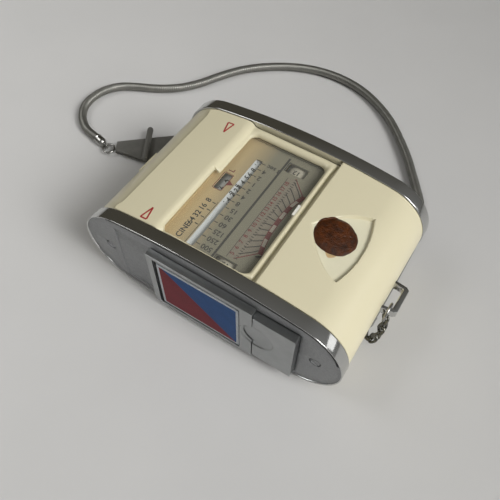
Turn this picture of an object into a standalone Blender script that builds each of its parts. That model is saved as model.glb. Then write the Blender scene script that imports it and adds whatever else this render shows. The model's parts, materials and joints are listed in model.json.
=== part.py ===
"""Selenium light meter with a neck chain, as an assembly of separate pieces. Metres, +Z up, dial up."""

import math

import bmesh
import bpy
import numpy as np
from mathutils import Matrix, Vector

# Driving dimensions, in millimetres. The helpers below turn them into metres.
MM = 0.001
BODY_WIDTH = 90.8
BODY_LENGTH = 60.0
BODY_HEIGHT = 36.0
CENTRE_X = -0.4
END_RADIUS = 16.0
FOOT_DEPTH = 0.3
RIM_WIDTH = 4.3
RIM_WALL = 1.1
PLATE_GAP = 0.3
RIM_FLANGE = 2.0
CASING_INSET = 0.6
CASING_WALL = 2.0
GAP = 0.3
PLATE_THICKNESS = 1.7
PANEL_INSET = 0.3
PANEL_WALL = 1.9
PANEL_LIP_X = -34.5
LIP_WALL = 0.3
BLIND_INSET = 0.75
BLIND_WALL = 0.8
BLIND_FROM = 107.0
BLIND_TRAVEL = 82.0
SCREW_X = 36.5
SCREW_HEAD = 1.6
LENS_INSET = 4.3
LENS_WALL = 1.0
CELL_HIGH = 14.4
DIAL_DEPTH = 5.3
DIAL_THICKNESS = 0.4
PANE_THICKNESS = 0.7
DRUM_X = -12.6
DRUM_RADIUS = 6.5
DRUM_SHAFT_RADIUS = 1.5
FILM_X = 2.1
FILM_RADIUS = 4.4
FILM_SHAFT_RADIUS = 1.2
KNOB_LENGTH = 2.3
WHEEL_RADIUS = 7.6
FILM_KNOB_RADIUS = 4.0
PIVOT_X = 31.0
PIVOT_Y = -2.3
NEEDLE_LENGTH = 26.7
NEEDLE_REST = 212.0
MAGNET_RADIUS = 8.6
MAGNET_BORE = 6.4
CORE_RADIUS = 4.6
FRAME_LEFT = -18.9
FRAME_RIGHT = 17.3
FRAME_LOW = 3.8
FRAME_HIGH = 30.4
FRAME_STAND = 2.3
FRAME_SHEET = 0.65
POST_LEFT = 13.2
SLIDE_LEFT = -17.0
THUMB_LEFT = 17.6
DISH_X = 18.9
DISH_Z = 18.1
DISH_RADIUS = 5.7
SLIDE_RIGHT = 30.9
TRACK_LEFT = -32.6
TRACK_DEPTH = 0.4
LUG_DEPTH = 5.0
LUG_WIDTH = 3.0
LUG_BAR = 1.7
LUG_Y = 0.6
CHAIN_RADIUS = 1.7
CHAIN_HEIGHT = 1.9
LINK_WIRE = 0.42
LINK_COUNT = 7
CLIP_ANGLE = 29.6
CLIP_LENGTH = 23.0

# Derived dimensions.
HALF = (BODY_HEIGHT + FOOT_DEPTH) / 2
MID = BODY_HEIGHT - HALF
END_X = BODY_WIDTH / 2 - END_RADIUS
CROWN = (END_X ** 2 + HALF ** 2 - END_RADIUS ** 2) / (2 * (HALF - END_RADIUS))
CROWN_ANGLE = math.degrees(math.atan2(END_X, CROWN - HALF))
LEFT_X = CENTRE_X - END_X
RIGHT_X = CENTRE_X + END_X
RIGHT_END = RIGHT_X + END_RADIUS
LINER_FROM = 90.0 + CROWN_ANGLE + 1.6
LINER_TO = 270.0 - CROWN_ANGLE - 0.1
BLIND_TO = LINER_TO - 4.0
END_Y = BODY_LENGTH / 2
INNER_Y = END_Y - RIM_WIDTH
FLANGE_Y = INNER_Y + RIM_FLANGE
PLATE_Y = FLANGE_Y + GAP
FACE_Y = PLATE_Y + PLATE_THICKNESS
WIDE = BODY_WIDTH / 90.8
LONG = BODY_LENGTH / 60.0
SHIFT = BODY_WIDTH / 2 - 45.4
DIAL_TOP = BODY_HEIGHT - DIAL_DEPTH
DIAL_LOW = DIAL_TOP - DIAL_THICKNESS
PANE_LOW = DIAL_TOP + 1.0
PANE_TOP = PANE_LOW + PANE_THICKNESS
BEZEL_LOW = PANE_TOP + 0.2
BEZEL_TOP = BEZEL_LOW + 0.8
WALL_TOP = DIAL_LOW - 0.2
DRUM_Z = WALL_TOP - 0.3 - DRUM_RADIUS
FILM_Z = WALL_TOP - 0.3 - FILM_RADIUS
CHASSIS_LOW = 9.4
CHASSIS_TOP = 10.4
WALL_Y = INNER_Y - 1.1

for old in list(bpy.data.objects):
    bpy.data.objects.remove(old, do_unlink=True)

parts = bpy.data.collections.new("selenium_light_meter")
cutters = bpy.data.collections.new("cutters")
bpy.context.scene.collection.children.link(parts)
bpy.context.scene.collection.children.link(cutters)


def section(angle, inset):
    """Point (x, z) of the crowned oval section whose outward normal has this angle in degrees."""
    turn = math.radians(angle)
    c = math.cos(turn)
    s = math.sin(turn)
    if abs((angle - 90 + 180) % 360 - 180) <= CROWN_ANGLE:
        return CENTRE_X + (CROWN - inset) * c, MID + HALF - CROWN + (CROWN - inset) * s
    if abs((angle - 270 + 180) % 360 - 180) <= CROWN_ANGLE:
        return CENTRE_X + (CROWN - inset) * c, MID - HALF + CROWN + (CROWN - inset) * s
    side = RIGHT_X if c > 0 else LEFT_X
    return side + (END_RADIUS - inset) * c, MID + (END_RADIUS - inset) * s


def section_path(start, end, inset):
    """Points of the section from one normal angle to another, with the ends of its four arcs."""
    low = min(start, end)
    high = max(start, end)
    turns = {start, end}
    for whole in range(-2, 3):
        for middle in (90.0, 270.0):
            for step in np.linspace(-CROWN_ANGLE, CROWN_ANGLE, 7):
                turns.add(middle + 360.0 * whole + float(step))
        for middle in (0.0, 180.0):
            reach = 90.0 - CROWN_ANGLE
            for step in np.linspace(-reach, reach, 19)[1:-1]:
                turns.add(middle + 360.0 * whole + float(step))
    keep = sorted(t for t in turns if low <= t <= high)
    clean = [keep[0]]
    for t in keep[1:]:
        if t - clean[-1] > 0.4:
            clean.append(t)
    clean[-1] = keep[-1]
    if start > end:
        clean.reverse()
    return [section(t, inset) for t in clean]


def top_angle(x, inset):
    return math.degrees(math.acos((x - CENTRE_X) / (CROWN - inset)))


def crown_z(x, inset):
    """Height of the upper crown arc, carried on past its ends."""
    return MID + HALF - CROWN + math.sqrt((CROWN - inset) ** 2 - (x - CENTRE_X) ** 2)


def casing_z(x, inset):
    """Height of the upper side of the section at a place on the right."""
    join = CENTRE_X + (CROWN - inset) * math.sin(math.radians(CROWN_ANGLE))
    if x <= join:
        return crown_z(x, inset)
    return MID + math.sqrt((END_RADIUS - inset) ** 2 - (x - RIGHT_X) ** 2)


def oval(inset):
    """The whole section at an inset, with its underside cut flat at the rest plane."""
    points = section_path(-90.0 + CROWN_ANGLE, 270.0 + CROWN_ANGLE, inset)[:-1]
    deep = FOOT_DEPTH - inset
    if deep <= 0:
        return points
    foot = math.sqrt(2 * CROWN * deep - deep * deep)
    return [p for p in points if p[1] > 0.02] + [(CENTRE_X - foot, 0.0), (CENTRE_X + foot, 0.0)]


def band(start, end, outer, inner):
    """Closed loop between two insets of the section."""
    return section_path(start, end, outer) + section_path(end, start, inner)


def circle(x, y, radius, sides=24, phase=0.0):
    turns = np.arange(sides) * 2 * math.pi / sides + phase
    return [(x + radius * math.cos(t), y + radius * math.sin(t)) for t in turns]


def box_loop(x0, x1, y0, y1):
    return [(x0, y0), (x1, y0), (x1, y1), (x0, y1)]


def rounded(points, radii, steps=4):
    """The polygon with each corner replaced by an arc of its own radius."""
    found = []
    count = len(points)
    for i in range(count):
        here = np.array(points[i], float)
        back = np.array(points[i - 1], float) - here
        ahead = np.array(points[(i + 1) % count], float) - here
        back /= np.linalg.norm(back)
        ahead /= np.linalg.norm(ahead)
        half = math.acos(max(-1.0, min(1.0, float(back @ ahead)))) / 2
        reach = radii[i] / math.tan(half)
        middle = here + (back + ahead) / np.linalg.norm(back + ahead) * radii[i] / math.sin(half)
        first = here + back * reach - middle
        last = here + ahead * reach - middle
        a0 = math.atan2(first[1], first[0])
        swing = (math.atan2(last[1], last[0]) - a0 + math.pi) % (2 * math.pi) - math.pi
        for k in range(steps + 1):
            a = a0 + swing * k / steps
            found.append((middle[0] + radii[i] * math.cos(a), middle[1] + radii[i] * math.sin(a)))
    return found


def round_box(x0, x1, y0, y1, radius):
    return rounded(box_loop(x0, x1, y0, y1), [radius] * 4)


TURN = {
    "Z": Matrix.Identity(4),
    "Y": Matrix(((1, 0, 0, 0), (0, 0, -1, 0), (0, 1, 0, 0), (0, 0, 0, 1))),
    "X": Matrix(((0, 0, 1, 0), (1, 0, 0, 0), (0, 1, 0, 0), (0, 0, 0, 1))),
}


def settle(name, source, matrix, origin, cutter):
    """Makes one clean mesh object in metres from an object in millimetres, and removes the source."""
    bpy.context.view_layer.update()
    graph = bpy.context.evaluated_depsgraph_get()
    mesh = bpy.data.meshes.new_from_object(source.evaluated_get(graph))
    data = source.data
    curve = source.type == "CURVE"
    bpy.data.objects.remove(source, do_unlink=True)
    if curve:
        bpy.data.curves.remove(data)
    place = Matrix.Translation(-Vector(origin)) @ matrix
    work = bmesh.new()
    work.from_mesh(mesh)
    bmesh.ops.transform(work, matrix=place, verts=work.verts)
    bmesh.ops.remove_doubles(work, verts=work.verts, dist=0.002)
    bmesh.ops.recalc_face_normals(work, faces=work.faces)
    bmesh.ops.scale(work, vec=(MM, MM, MM), verts=work.verts)
    work.to_mesh(mesh)
    work.free()
    mesh.name = name
    made = bpy.data.objects.new(name, mesh)
    made.location = Vector(origin) * MM
    if cutter:
        cutters.objects.link(made)
        made.hide_render = True
        made.display_type = "WIRE"
    else:
        parts.objects.link(made)
    return made


def prism(name, loops, axis, low, high, origin=(0, 0, 0), matrix=None, cutter=False):
    """A flat outline with holes, drawn across an axis and given thickness along it from low to high."""
    data = bpy.data.curves.new(name, "CURVE")
    data.dimensions = "2D"
    data.fill_mode = "BOTH"
    data.extrude = (high - low) / 2
    for loop in loops:
        spline = data.splines.new("POLY")
        spline.points.add(len(loop) - 1)
        spline.points.foreach_set("co", [v for x, y in loop for v in (x, y, 0.0, 1.0)])
        spline.use_cyclic_u = True
    source = bpy.data.objects.new(name, data)
    parts.objects.link(source)
    middle = (low + high) / 2
    place = TURN[axis] @ Matrix.Translation((0, 0, -middle if axis == "Y" else middle))
    if matrix is not None:
        place = matrix @ place
    return settle(name, source, place, origin, cutter)


def tube(name, points, radius, sides=8, closed=False, origin=(0, 0, 0), cutter=False):
    """A round wire along points."""
    data = bpy.data.curves.new(name, "CURVE")
    data.dimensions = "3D"
    data.fill_mode = "FULL"
    data.bevel_depth = radius
    data.bevel_resolution = (sides - 4) // 2
    data.use_fill_caps = not closed
    spline = data.splines.new("POLY")
    spline.points.add(len(points) - 1)
    spline.points.foreach_set("co", [float(v) for p in points for v in (p[0], p[1], p[2], 1.0)])
    spline.use_cyclic_u = closed
    source = bpy.data.objects.new(name, data)
    parts.objects.link(source)
    return settle(name, source, Matrix.Identity(4), origin, cutter)


def lathe(name, profile, base, axis, sides=24, origin=(0, 0, 0), cutter=False):
    """A profile of (radius, height) turned about an axis vector through a base point."""
    mesh = bpy.data.meshes.new(name)
    rows = [(r, 0.0, h) for r, h in profile]
    mesh.from_pydata(rows, [(i, i + 1) for i in range(len(rows) - 1)], [])
    source = bpy.data.objects.new(name, mesh)
    parts.objects.link(source)
    screw = source.modifiers.new("turn", "SCREW")
    screw.steps = sides
    screw.render_steps = sides
    screw.use_merge_vertices = True
    screw.merge_threshold = 0.0001
    turn = Vector((0, 0, 1)).rotation_difference(Vector(axis)).to_matrix().to_4x4()
    return settle(name, source, Matrix.Translation(base) @ turn, origin, cutter)


def boolean(target, other, operation="DIFFERENCE"):
    step = target.modifiers.new(operation.lower(), "BOOLEAN")
    step.operation = operation
    step.solver = "EXACT"
    step.object = other
    return target


def finish(obj, colour, metallic=0.0, roughness=0.5):
    material = bpy.data.materials.new(obj.name)
    material.use_nodes = True
    shader = material.node_tree.nodes["Principled BSDF"]
    shader.inputs["Base Color"].default_value = (*colour, 1.0)
    shader.inputs["Metallic"].default_value = metallic
    shader.inputs["Roughness"].default_value = roughness
    obj.data.materials.clear()
    obj.data.materials.append(material)
    return obj


CHROME = ((0.75, 0.75, 0.76), 1.0, 0.12)
ZINC = ((0.35, 0.36, 0.37), 0.8, 0.45)
STEEL = ((0.55, 0.55, 0.56), 1.0, 0.3)
BRASS = ((0.72, 0.53, 0.25), 1.0, 0.35)
CREAM = ((0.68, 0.62, 0.4), 0.0, 0.25)
DARK = ((0.04, 0.04, 0.04), 0.0, 0.5)
IRON = ((0.25, 0.25, 0.26), 0.9, 0.5)
PALE = ((0.7, 0.69, 0.63), 0.0, 0.5)
COPPER = ((0.72, 0.33, 0.18), 1.0, 0.35)


def span(side, near, far):
    """Two places along Y on one side of the body, in rising order."""
    return min(side * near, side * far), max(side * near, side * far)


# Rims, end plates and their screws.
COVER_IN = 2.1
ROD_X = 18.0
ROD_RADIUS = 1.0
ROD_GAP = 0.45
rods = []
for side_x in (-1, 1):
    rod_x = side_x * ROD_X * WIDE
    rods.append((rod_x, 2 * MID - crown_z(rod_x, COVER_IN) + ROD_GAP + ROD_RADIUS))
for label, side in (("near", -1), ("far", 1)):
    opening = round_box(-33 * WIDE, 33 * WIDE, 6.0, BODY_HEIGHT - 5.4, 5.0)
    holes = [circle(side_x * SCREW_X * WIDE, MID, 1.15, 12) for side_x in (-1, 1)]
    holes += [circle(*rod, ROD_RADIUS + 0.25, 12) for rod in rods]
    rim = prism(f"{label}_rim", [oval(0), opening, *holes], "Y", *span(side, INNER_Y, END_Y))
    recess = prism(f"{label}_recess", [oval(RIM_WALL)], "Y", *span(side, FLANGE_Y, END_Y + 2), cutter=True)
    boolean(rim, recess)
    turns = np.radians(np.linspace(BLIND_FROM - 3, BLIND_TO + BLIND_TRAVEL + 3, 41))
    outer = END_RADIUS - BLIND_INSET + GAP
    inner = END_RADIUS - BLIND_INSET - BLIND_WALL - GAP
    loop = [(LEFT_X + outer * math.cos(t), MID + outer * math.sin(t)) for t in turns]
    loop += [(LEFT_X + inner * math.cos(t), MID + inner * math.sin(t)) for t in turns[::-1]]
    groove = prism(f"{label}_groove", [loop], "Y", *span(side, INNER_Y - 1, INNER_Y + 0.8), cutter=True)
    boolean(rim, groove)
    finish(rim, *CHROME)

    holes = [circle(side_x * SCREW_X * WIDE, MID, 1.25, 12) for side_x in (-1, 1)]
    if side > 0:
        holes.append(circle(DRUM_X * WIDE, DRUM_Z, DRUM_SHAFT_RADIUS + 0.3, 16))
        holes.append(circle(FILM_X * WIDE, FILM_Z, FILM_SHAFT_RADIUS + 0.3, 16))
    plate = prism(f"{label}_end_plate", [oval(RIM_WALL + PLATE_GAP), *holes], "Y", *span(side, PLATE_Y, FACE_Y))
    for word, side_x in (("left", -1), ("right", 1)):
        sink = lathe(
            f"{label}_{word}_sink", [(0, 0), (SCREW_HEAD + 0.2, 0), (SCREW_HEAD + 0.2, 3), (0, 3)],
            (side_x * SCREW_X * WIDE, side * (FACE_Y - 1.0), MID), (0, side, 0), cutter=True)
        boolean(plate, sink)
        head = FACE_Y - 0.75
        profile = [(0, INNER_Y + 0.2), (0.9, INNER_Y + 0.2), (0.9, head), (SCREW_HEAD, head)]
        profile += [(SCREW_HEAD, FACE_Y - 0.2), (SCREW_HEAD - 0.25, FACE_Y), (0, FACE_Y)]
        screw = lathe(
            f"{label}_screw_{word}", profile, (side_x * SCREW_X * WIDE, 0, MID), (0, side, 0), 16)
        slot = prism(
            f"{label}_{word}_slot", [box_loop(-3, 3, -0.2, 0.2)], "Y", *span(side, FACE_Y - 0.3, FACE_Y + 1),
            matrix=Matrix.Translation((side_x * SCREW_X * WIDE, 0, MID)) @ Matrix.Rotation(0.6, 4, "Y"),
            cutter=True)
        boolean(screw, slot)
        finish(screw, *STEEL)
    if side < 0:
        track = prism(
            "slide_track", [box_loop(TRACK_LEFT, SLIDE_RIGHT + 0.5, FRAME_LOW + 0.8, FRAME_HIGH - 1.3)],
            "Y", -FACE_Y - 1, -FACE_Y + TRACK_DEPTH, cutter=True)
        boolean(plate, track)
    finish(plate, *ZINC)

# Tie rods that hold the two rims on the casing.
rod_end = FLANGE_Y - 0.1
profile = [(0, -rod_end), (ROD_RADIUS, -rod_end), (ROD_RADIUS, rod_end), (0, rod_end)]
for word, (rod_x, rod_z) in zip(("left", "right"), rods):
    finish(lathe(f"tie_rod_{word}", profile, (rod_x, 0, rod_z), (0, 1, 0), 12), *STEEL)

# Casing between the rims.
CASE_Y = INNER_Y - 0.25
CASING_LEFT = 13.9 * WIDE
SEAM_X = 20.0 * WIDE
outer_angle = top_angle(CASING_LEFT, CASING_INSET)
seam_angle = -top_angle(SEAM_X, CASING_INSET)
casing = prism(
    "right_casing", [band(outer_angle, seam_angle, CASING_INSET, CASING_INSET + CASING_WALL)],
    "Y", -CASE_Y, CASE_Y)
APEX_X = 18.5 * WIDE
FAN_Y = -0.3
FAN_X = 31.6 * WIDE
FAN_BULGE = 2.5
FAN_HALF = 12.5 * LONG
fan = [(APEX_X, FAN_Y)]
for k in range(9):
    t = -1 + k / 4
    fan.append((FAN_X + FAN_BULGE * (1 - t * t), FAN_Y + FAN_HALF * t))
floor_left = section(top_angle(APEX_X, CASING_INSET), CASING_INSET)[1] - 0.2
FAN_DEEP = 1.0
fan_x, fan_z = section(72.0, CASING_INSET + FAN_DEEP)
floor_tilt = math.atan2(floor_left - fan_z, fan_x - APEX_X)
floor_place = Matrix.Translation((APEX_X, 0, floor_left)) @ Matrix.Rotation(floor_tilt, 4, "Y")
fan_local = [(x - APEX_X, y) for x, y in fan]
boolean(casing, prism("fan_cutter", [fan_local], "Z", 0, 9, matrix=floor_place, cutter=True))
LUG_Z = MID
for word, side_y in (("far", 1), ("near", -1)):
    low, high = sorted((LUG_Y + side_y * 4.0, LUG_Y + side_y * 6.0))
    slot = prism(
        f"lug_slot_{word}", [box_loop(RIGHT_END - 4.5, RIGHT_END + 2, low, high)], "Z",
        LUG_Z - LUG_WIDTH / 2 - 0.3, LUG_Z + LUG_WIDTH / 2 + 0.3, cutter=True)
    boolean(casing, slot)
finish(casing, *CREAM)

patch = [(2.7, 0.0), (3.6, 2.0), (5.5, 3.9), (7.8, 5.4), (10.3, 5.9), (12.0, 4.5), (12.7, 2.0), (12.6, -1.0)]
patch += [(11.8, -3.8), (9.7, -5.7), (7.3, -5.2), (5.1, -3.1), (3.5, -1.6)]
patch = [(x, y + FAN_Y) for x, y in patch]
finish(prism("emblem_adhesive", [patch], "Z", 0.15, 0.6, matrix=floor_place), (0.12, 0.05, 0.02), 0, 0.8)

LAND = 10.0
COVER_INSET = FOOT_DEPTH
LIP_INSET = BLIND_INSET - 0.15
cover_right = SEAM_X - 0.4
cover_step = -17.0 * WIDE
right_angle = 360.0 - top_angle(cover_right, COVER_INSET)
step_angle = 360.0 - top_angle(cover_step, COVER_INSET)
low_side = section_path(right_angle, BLIND_TO + 3, COVER_INSET)
loop = [p for p in low_side if p[0] > LAND]
edge_z = section(360.0 - top_angle(LAND, COVER_INSET), COVER_INSET)[1]
loop += [(LAND, edge_z), (LAND, 0.0), (-LAND, 0.0), (-LAND, edge_z)]
loop += [p for p in low_side if p[0] < -LAND]
loop += section_path(BLIND_TO + 3, step_angle, LIP_INSET)
loop += section_path(step_angle, right_angle, COVER_IN)
finish(prism("rear_cover", [loop], "Y", -CASE_Y, CASE_Y), *CREAM)

shoulder_x = -20.6 * WIDE
shoulder_end = -17.9 * WIDE
panel_right = CASING_LEFT - 0.3
lip_x = PANEL_LIP_X * WIDE
lip_step = lip_x + 1.1
shoulder_z = crown_z(shoulder_x, PANEL_INSET)
loop = [(x, crown_z(x, PANEL_INSET)) for x in np.linspace(lip_x, shoulder_x, 9)]
for k in range(1, 7):
    t = k / 6 * math.pi / 2
    drop = (shoulder_z - BEZEL_TOP) * (1 - math.cos(t))
    loop.append((shoulder_x + (shoulder_end - shoulder_x) * math.sin(t), shoulder_z - drop))
loop += [(panel_right, BEZEL_TOP), (panel_right, BEZEL_LOW), (-15.0 * WIDE, BEZEL_LOW)]
loop += [(x, crown_z(x, PANEL_INSET + PANEL_WALL)) for x in np.linspace(-19.0 * WIDE, lip_step, 8)]
loop += [(x, crown_z(x, PANEL_INSET + LIP_WALL)) for x in (lip_step, lip_x)]
panel = prism("front_panel", [loop], "Y", -CASE_Y, CASE_Y)
WINDOW = [(10.5 * WIDE, -24.4 * LONG), (10.5 * WIDE, 22.5 * LONG), (-16.9 * WIDE, 22.5 * LONG)]
WINDOW += [(-16.9 * WIDE, 3.0), (-18.7 * WIDE, 3.0), (-18.7 * WIDE, -24.4 * LONG)]
window = rounded(WINDOW, [2.5, 2.5, 2.5, 0.4, 0.4, 2.5])
boolean(panel, prism("window_cutter", [window], "Z", BEZEL_LOW - 5, BODY_HEIGHT + 5, cutter=True))
finish(panel, *CREAM)

# Cell, its lens and the roller blind over it.
CELL_HALF = 19.0 * LONG
liner = prism("blind_liner", [band(LINER_FROM, LINER_TO, 2.8, 4.0)], "Y", -CASE_Y, CASE_Y)
opening = [band(134, 226, 1.5, 6.0)]
boolean(liner, prism("lens_cutter", opening, "Y", -CELL_HALF - 0.5, CELL_HALF + 0.5, cutter=True))
finish(liner, *CREAM)
lens_loop = band(130, 230, LENS_INSET, LENS_INSET + LENS_WALL)
lens = prism("cell_lens", [lens_loop], "Y", -CELL_HALF - 1.5, CELL_HALF + 1.5)
finish(lens, (0.8, 0.85, 0.8), 0, 0.1)
cell_top = CELL_HIGH / 2
lens_reach = END_RADIUS - LENS_INSET - LENS_WALL - GAP
CELL_X = LEFT_X - math.sqrt(lens_reach ** 2 - cell_top ** 2)
cell_loop = box_loop(CELL_X, CELL_X + 1, MID - cell_top, MID + cell_top)
cell = prism("selenium_cell", [cell_loop], "Y", -CELL_HALF, CELL_HALF)
finish(cell, (0.06, 0.06, 0.07), 0.4, 0.3)
contact = [box_loop(CELL_X + 1.3, CELL_X + 1.9, MID - cell_top + 0.7, MID + cell_top - 0.7)]
finish(prism("cell_contact_plate", contact, "Y", -CELL_HALF + 1, CELL_HALF - 1), *BRASS)
lead_z = DRUM_Z - DRUM_RADIUS - 1.9
lead = [(CELL_X + 2.5, 14, MID - 1.8), (-26 * WIDE, 14, lead_z + 0.7), (-15.6 * WIDE, 14, lead_z)]
lead += [(-5 * WIDE, 14, max(lead_z - 1.5, CHASSIS_TOP + 1.2)), (10 * WIDE, 13.5, CHASSIS_TOP + 1.2)]
lead += [(17 * WIDE, 11, CHASSIS_TOP + 1.0), (22 * WIDE, 8, CHASSIS_TOP + 0.6)]
finish(tube("cell_lead", lead, 0.35, 6), (0.3, 0.02, 0.02), 0, 0.5)

axis_left = (LEFT_X, 0, MID)
blind_out = END_RADIUS - BLIND_INSET
turns = np.radians(np.linspace(BLIND_FROM, BLIND_TO, 29))
loop = [(LEFT_X + blind_out * math.cos(t), MID + blind_out * math.sin(t)) for t in turns]
back = blind_out - BLIND_WALL
loop += [(LEFT_X + back * math.cos(t), MID + back * math.sin(t)) for t in turns[::-1]]
blind = prism("roller_blind", [loop], "Y", -INNER_Y - 0.5, INNER_Y + 0.5, origin=axis_left)
turns = np.radians(np.linspace(145, 149, 3))
loop = [(LEFT_X + (blind_out + 0.3) * math.cos(t), MID + (blind_out + 0.3) * math.sin(t)) for t in turns]
loop += [(LEFT_X + (back + 0.5) * math.cos(t), MID + (back + 0.5) * math.sin(t)) for t in turns[::-1]]
boolean(blind, prism("blind_grip", [loop], "Y", -6.0, 2.5, origin=axis_left, cutter=True), "UNION")
finish(blind, *CREAM)

# Window pane, spacer and dial plate.
PANE = (-20.2 * WIDE, 11.6 * WIDE, -25.2 * LONG, 23.7 * LONG)
finish(prism("window_pane", [box_loop(*PANE)], "Z", PANE_LOW, PANE_TOP), (0.8, 0.82, 0.8), 0, 0.05)
spacer = [(PANE[1], PANE[2]), (PANE[1], PANE[2] + 0.8), (PANE[0] + 1.0, PANE[2] + 0.8)]
spacer += [(PANE[0] + 1.0, PANE[3] - 0.8), (PANE[1], PANE[3] - 0.8), (PANE[1], PANE[3])]
spacer += [(PANE[0], PANE[3]), (PANE[0], PANE[2])]
finish(prism("pane_spacer", [spacer], "Z", DIAL_TOP + 0.2, PANE_LOW - 0.2), *DARK)
dial_y = INNER_Y - 0.4
dial = [box_loop(-22 * WIDE, 13.2 * WIDE, -dial_y, dial_y)]
dial.append(round_box(-11.4 * WIDE, -8.9 * WIDE, -22.8 * LONG, 15.8 * LONG, 0.5))
dial.append(round_box(-16.6 * WIDE, -13.7 * WIDE, -1.4, 5.6, 0.3))
dial.append(round_box(-1.3 * WIDE, 5.6 * WIDE, 16.2 * LONG, 20.0 * LONG, 0.3))
dial.append(round_box(-1.3 * WIDE, 5.6 * WIDE, -24.0 * LONG, -21.4 * LONG, 0.3))
finish(prism("dial_plate", dial, "Z", DIAL_LOW, DIAL_TOP), (0.5, 0.47, 0.38), 0, 0.5)

# Chassis plate and the two bearing plates.
chassis = [(-11 * WIDE, -WALL_Y + 0.3), (0, -WALL_Y + 0.3), (0, -INNER_Y + 0.3), (6, -INNER_Y + 0.3)]
chassis += [(6, -WALL_Y + 0.3), (38 * WIDE, -WALL_Y + 0.3), (38 * WIDE, WALL_Y - 0.3), (6, WALL_Y - 0.3)]
chassis += [(6, INNER_Y - 0.3), (0, INNER_Y - 0.3), (0, WALL_Y - 0.3), (-11 * WIDE, WALL_Y - 0.3)]
pivot = (PIVOT_X * WIDE, PIVOT_Y)
finish(prism("chassis_plate", [chassis, circle(*pivot, 1.3, 16)], "Z", CHASSIS_LOW, CHASSIS_TOP), *STEEL)
for label, side in (("near", -1), ("far", 1)):
    loop = [(-22 * WIDE, WALL_TOP), (13.2 * WIDE, WALL_TOP), (13.2 * WIDE, 8.2), (-11.5 * WIDE, 8.2)]
    loop += [(-11.5 * WIDE, 15.6), (-22 * WIDE, 15.6)]
    holes = [circle(DRUM_X * WIDE, DRUM_Z, DRUM_SHAFT_RADIUS + 0.15)]
    holes.append(circle(FILM_X * WIDE, FILM_Z, FILM_SHAFT_RADIUS + 0.15))
    holes.append(box_loop(-0.3, 6.3, CHASSIS_LOW - 0.3, CHASSIS_TOP + 0.3))
    wall = prism(f"{label}_bearing_plate", [loop, *holes], "Y", *span(side, WALL_Y, INNER_Y - 0.2))
    finish(wall, *BRASS)

# Aperture drum with its shaft and wheel, and the film-speed drum with its shaft and knob.
KNOB_Y = FACE_Y + GAP


def serrated(x, y, radius, depth, count):
    turns = np.arange(2 * count) * math.pi / count
    return [(x + (radius - depth * (i % 2)) * math.cos(t), y + (radius - depth * (i % 2)) * math.sin(t))
            for i, t in enumerate(turns)]


drum_axis = (DRUM_X * WIDE, 0, DRUM_Z)
film_axis = (FILM_X * WIDE, 0, FILM_Z)
drum_y = WALL_Y - 0.4
loops = [circle(drum_axis[0], DRUM_Z, DRUM_RADIUS, 40)]
loops.append(circle(drum_axis[0], DRUM_Z, DRUM_SHAFT_RADIUS + 0.2, 16))
finish(prism("aperture_drum", loops, "Y", -drum_y, drum_y, origin=drum_axis), *PALE)
reach = KNOB_Y + KNOB_LENGTH - 0.5
rod = [(0, -INNER_Y + 0.3), (DRUM_SHAFT_RADIUS, -INNER_Y + 0.3), (DRUM_SHAFT_RADIUS, reach), (0, reach)]
finish(lathe("setting_shaft", rod, drum_axis, (0, 1, 0), 16, origin=drum_axis), *STEEL)
loops = [serrated(drum_axis[0], DRUM_Z, WHEEL_RADIUS, 0.5, 36)]
loops.append(circle(drum_axis[0], DRUM_Z, DRUM_SHAFT_RADIUS + 0.2, 16))
finish(prism("setting_wheel", loops, "Y", KNOB_Y, KNOB_Y + KNOB_LENGTH, origin=drum_axis), *DARK)
loops = [circle(film_axis[0], FILM_Z, FILM_RADIUS, 32)]
loops.append(circle(film_axis[0], FILM_Z, FILM_SHAFT_RADIUS + 0.2, 16))
finish(prism("film_speed_drum", loops, "Y", -drum_y, drum_y, origin=film_axis), *PALE)
reach = KNOB_Y + 0.9
rod = [(0, -INNER_Y + 0.3), (FILM_SHAFT_RADIUS, -INNER_Y + 0.3), (FILM_SHAFT_RADIUS, reach), (0, reach)]
finish(lathe("film_speed_shaft", rod, film_axis, (0, 1, 0), 16, origin=film_axis), *STEEL)
profile = [(FILM_SHAFT_RADIUS + 0.2, 0), (FILM_KNOB_RADIUS, 0), (FILM_KNOB_RADIUS, KNOB_LENGTH)]
profile += [(0, KNOB_LENGTH), (0, 1.1), (FILM_SHAFT_RADIUS + 0.2, 1.1), (FILM_SHAFT_RADIUS + 0.2, 0)]
base = (film_axis[0], KNOB_Y, FILM_Z)
knob = lathe("film_speed_knob", profile, base, (0, 1, 0), 32, origin=film_axis)
slot = prism(
    "coin_slot", [box_loop(film_axis[0] - 6, film_axis[0] + 6, FILM_Z - 0.5, FILM_Z + 0.5)], "Y",
    KNOB_Y + KNOB_LENGTH - 0.7, KNOB_Y + KNOB_LENGTH + 1, origin=film_axis, cutter=True)
boolean(knob, slot)
finish(knob, *ZINC)

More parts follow.
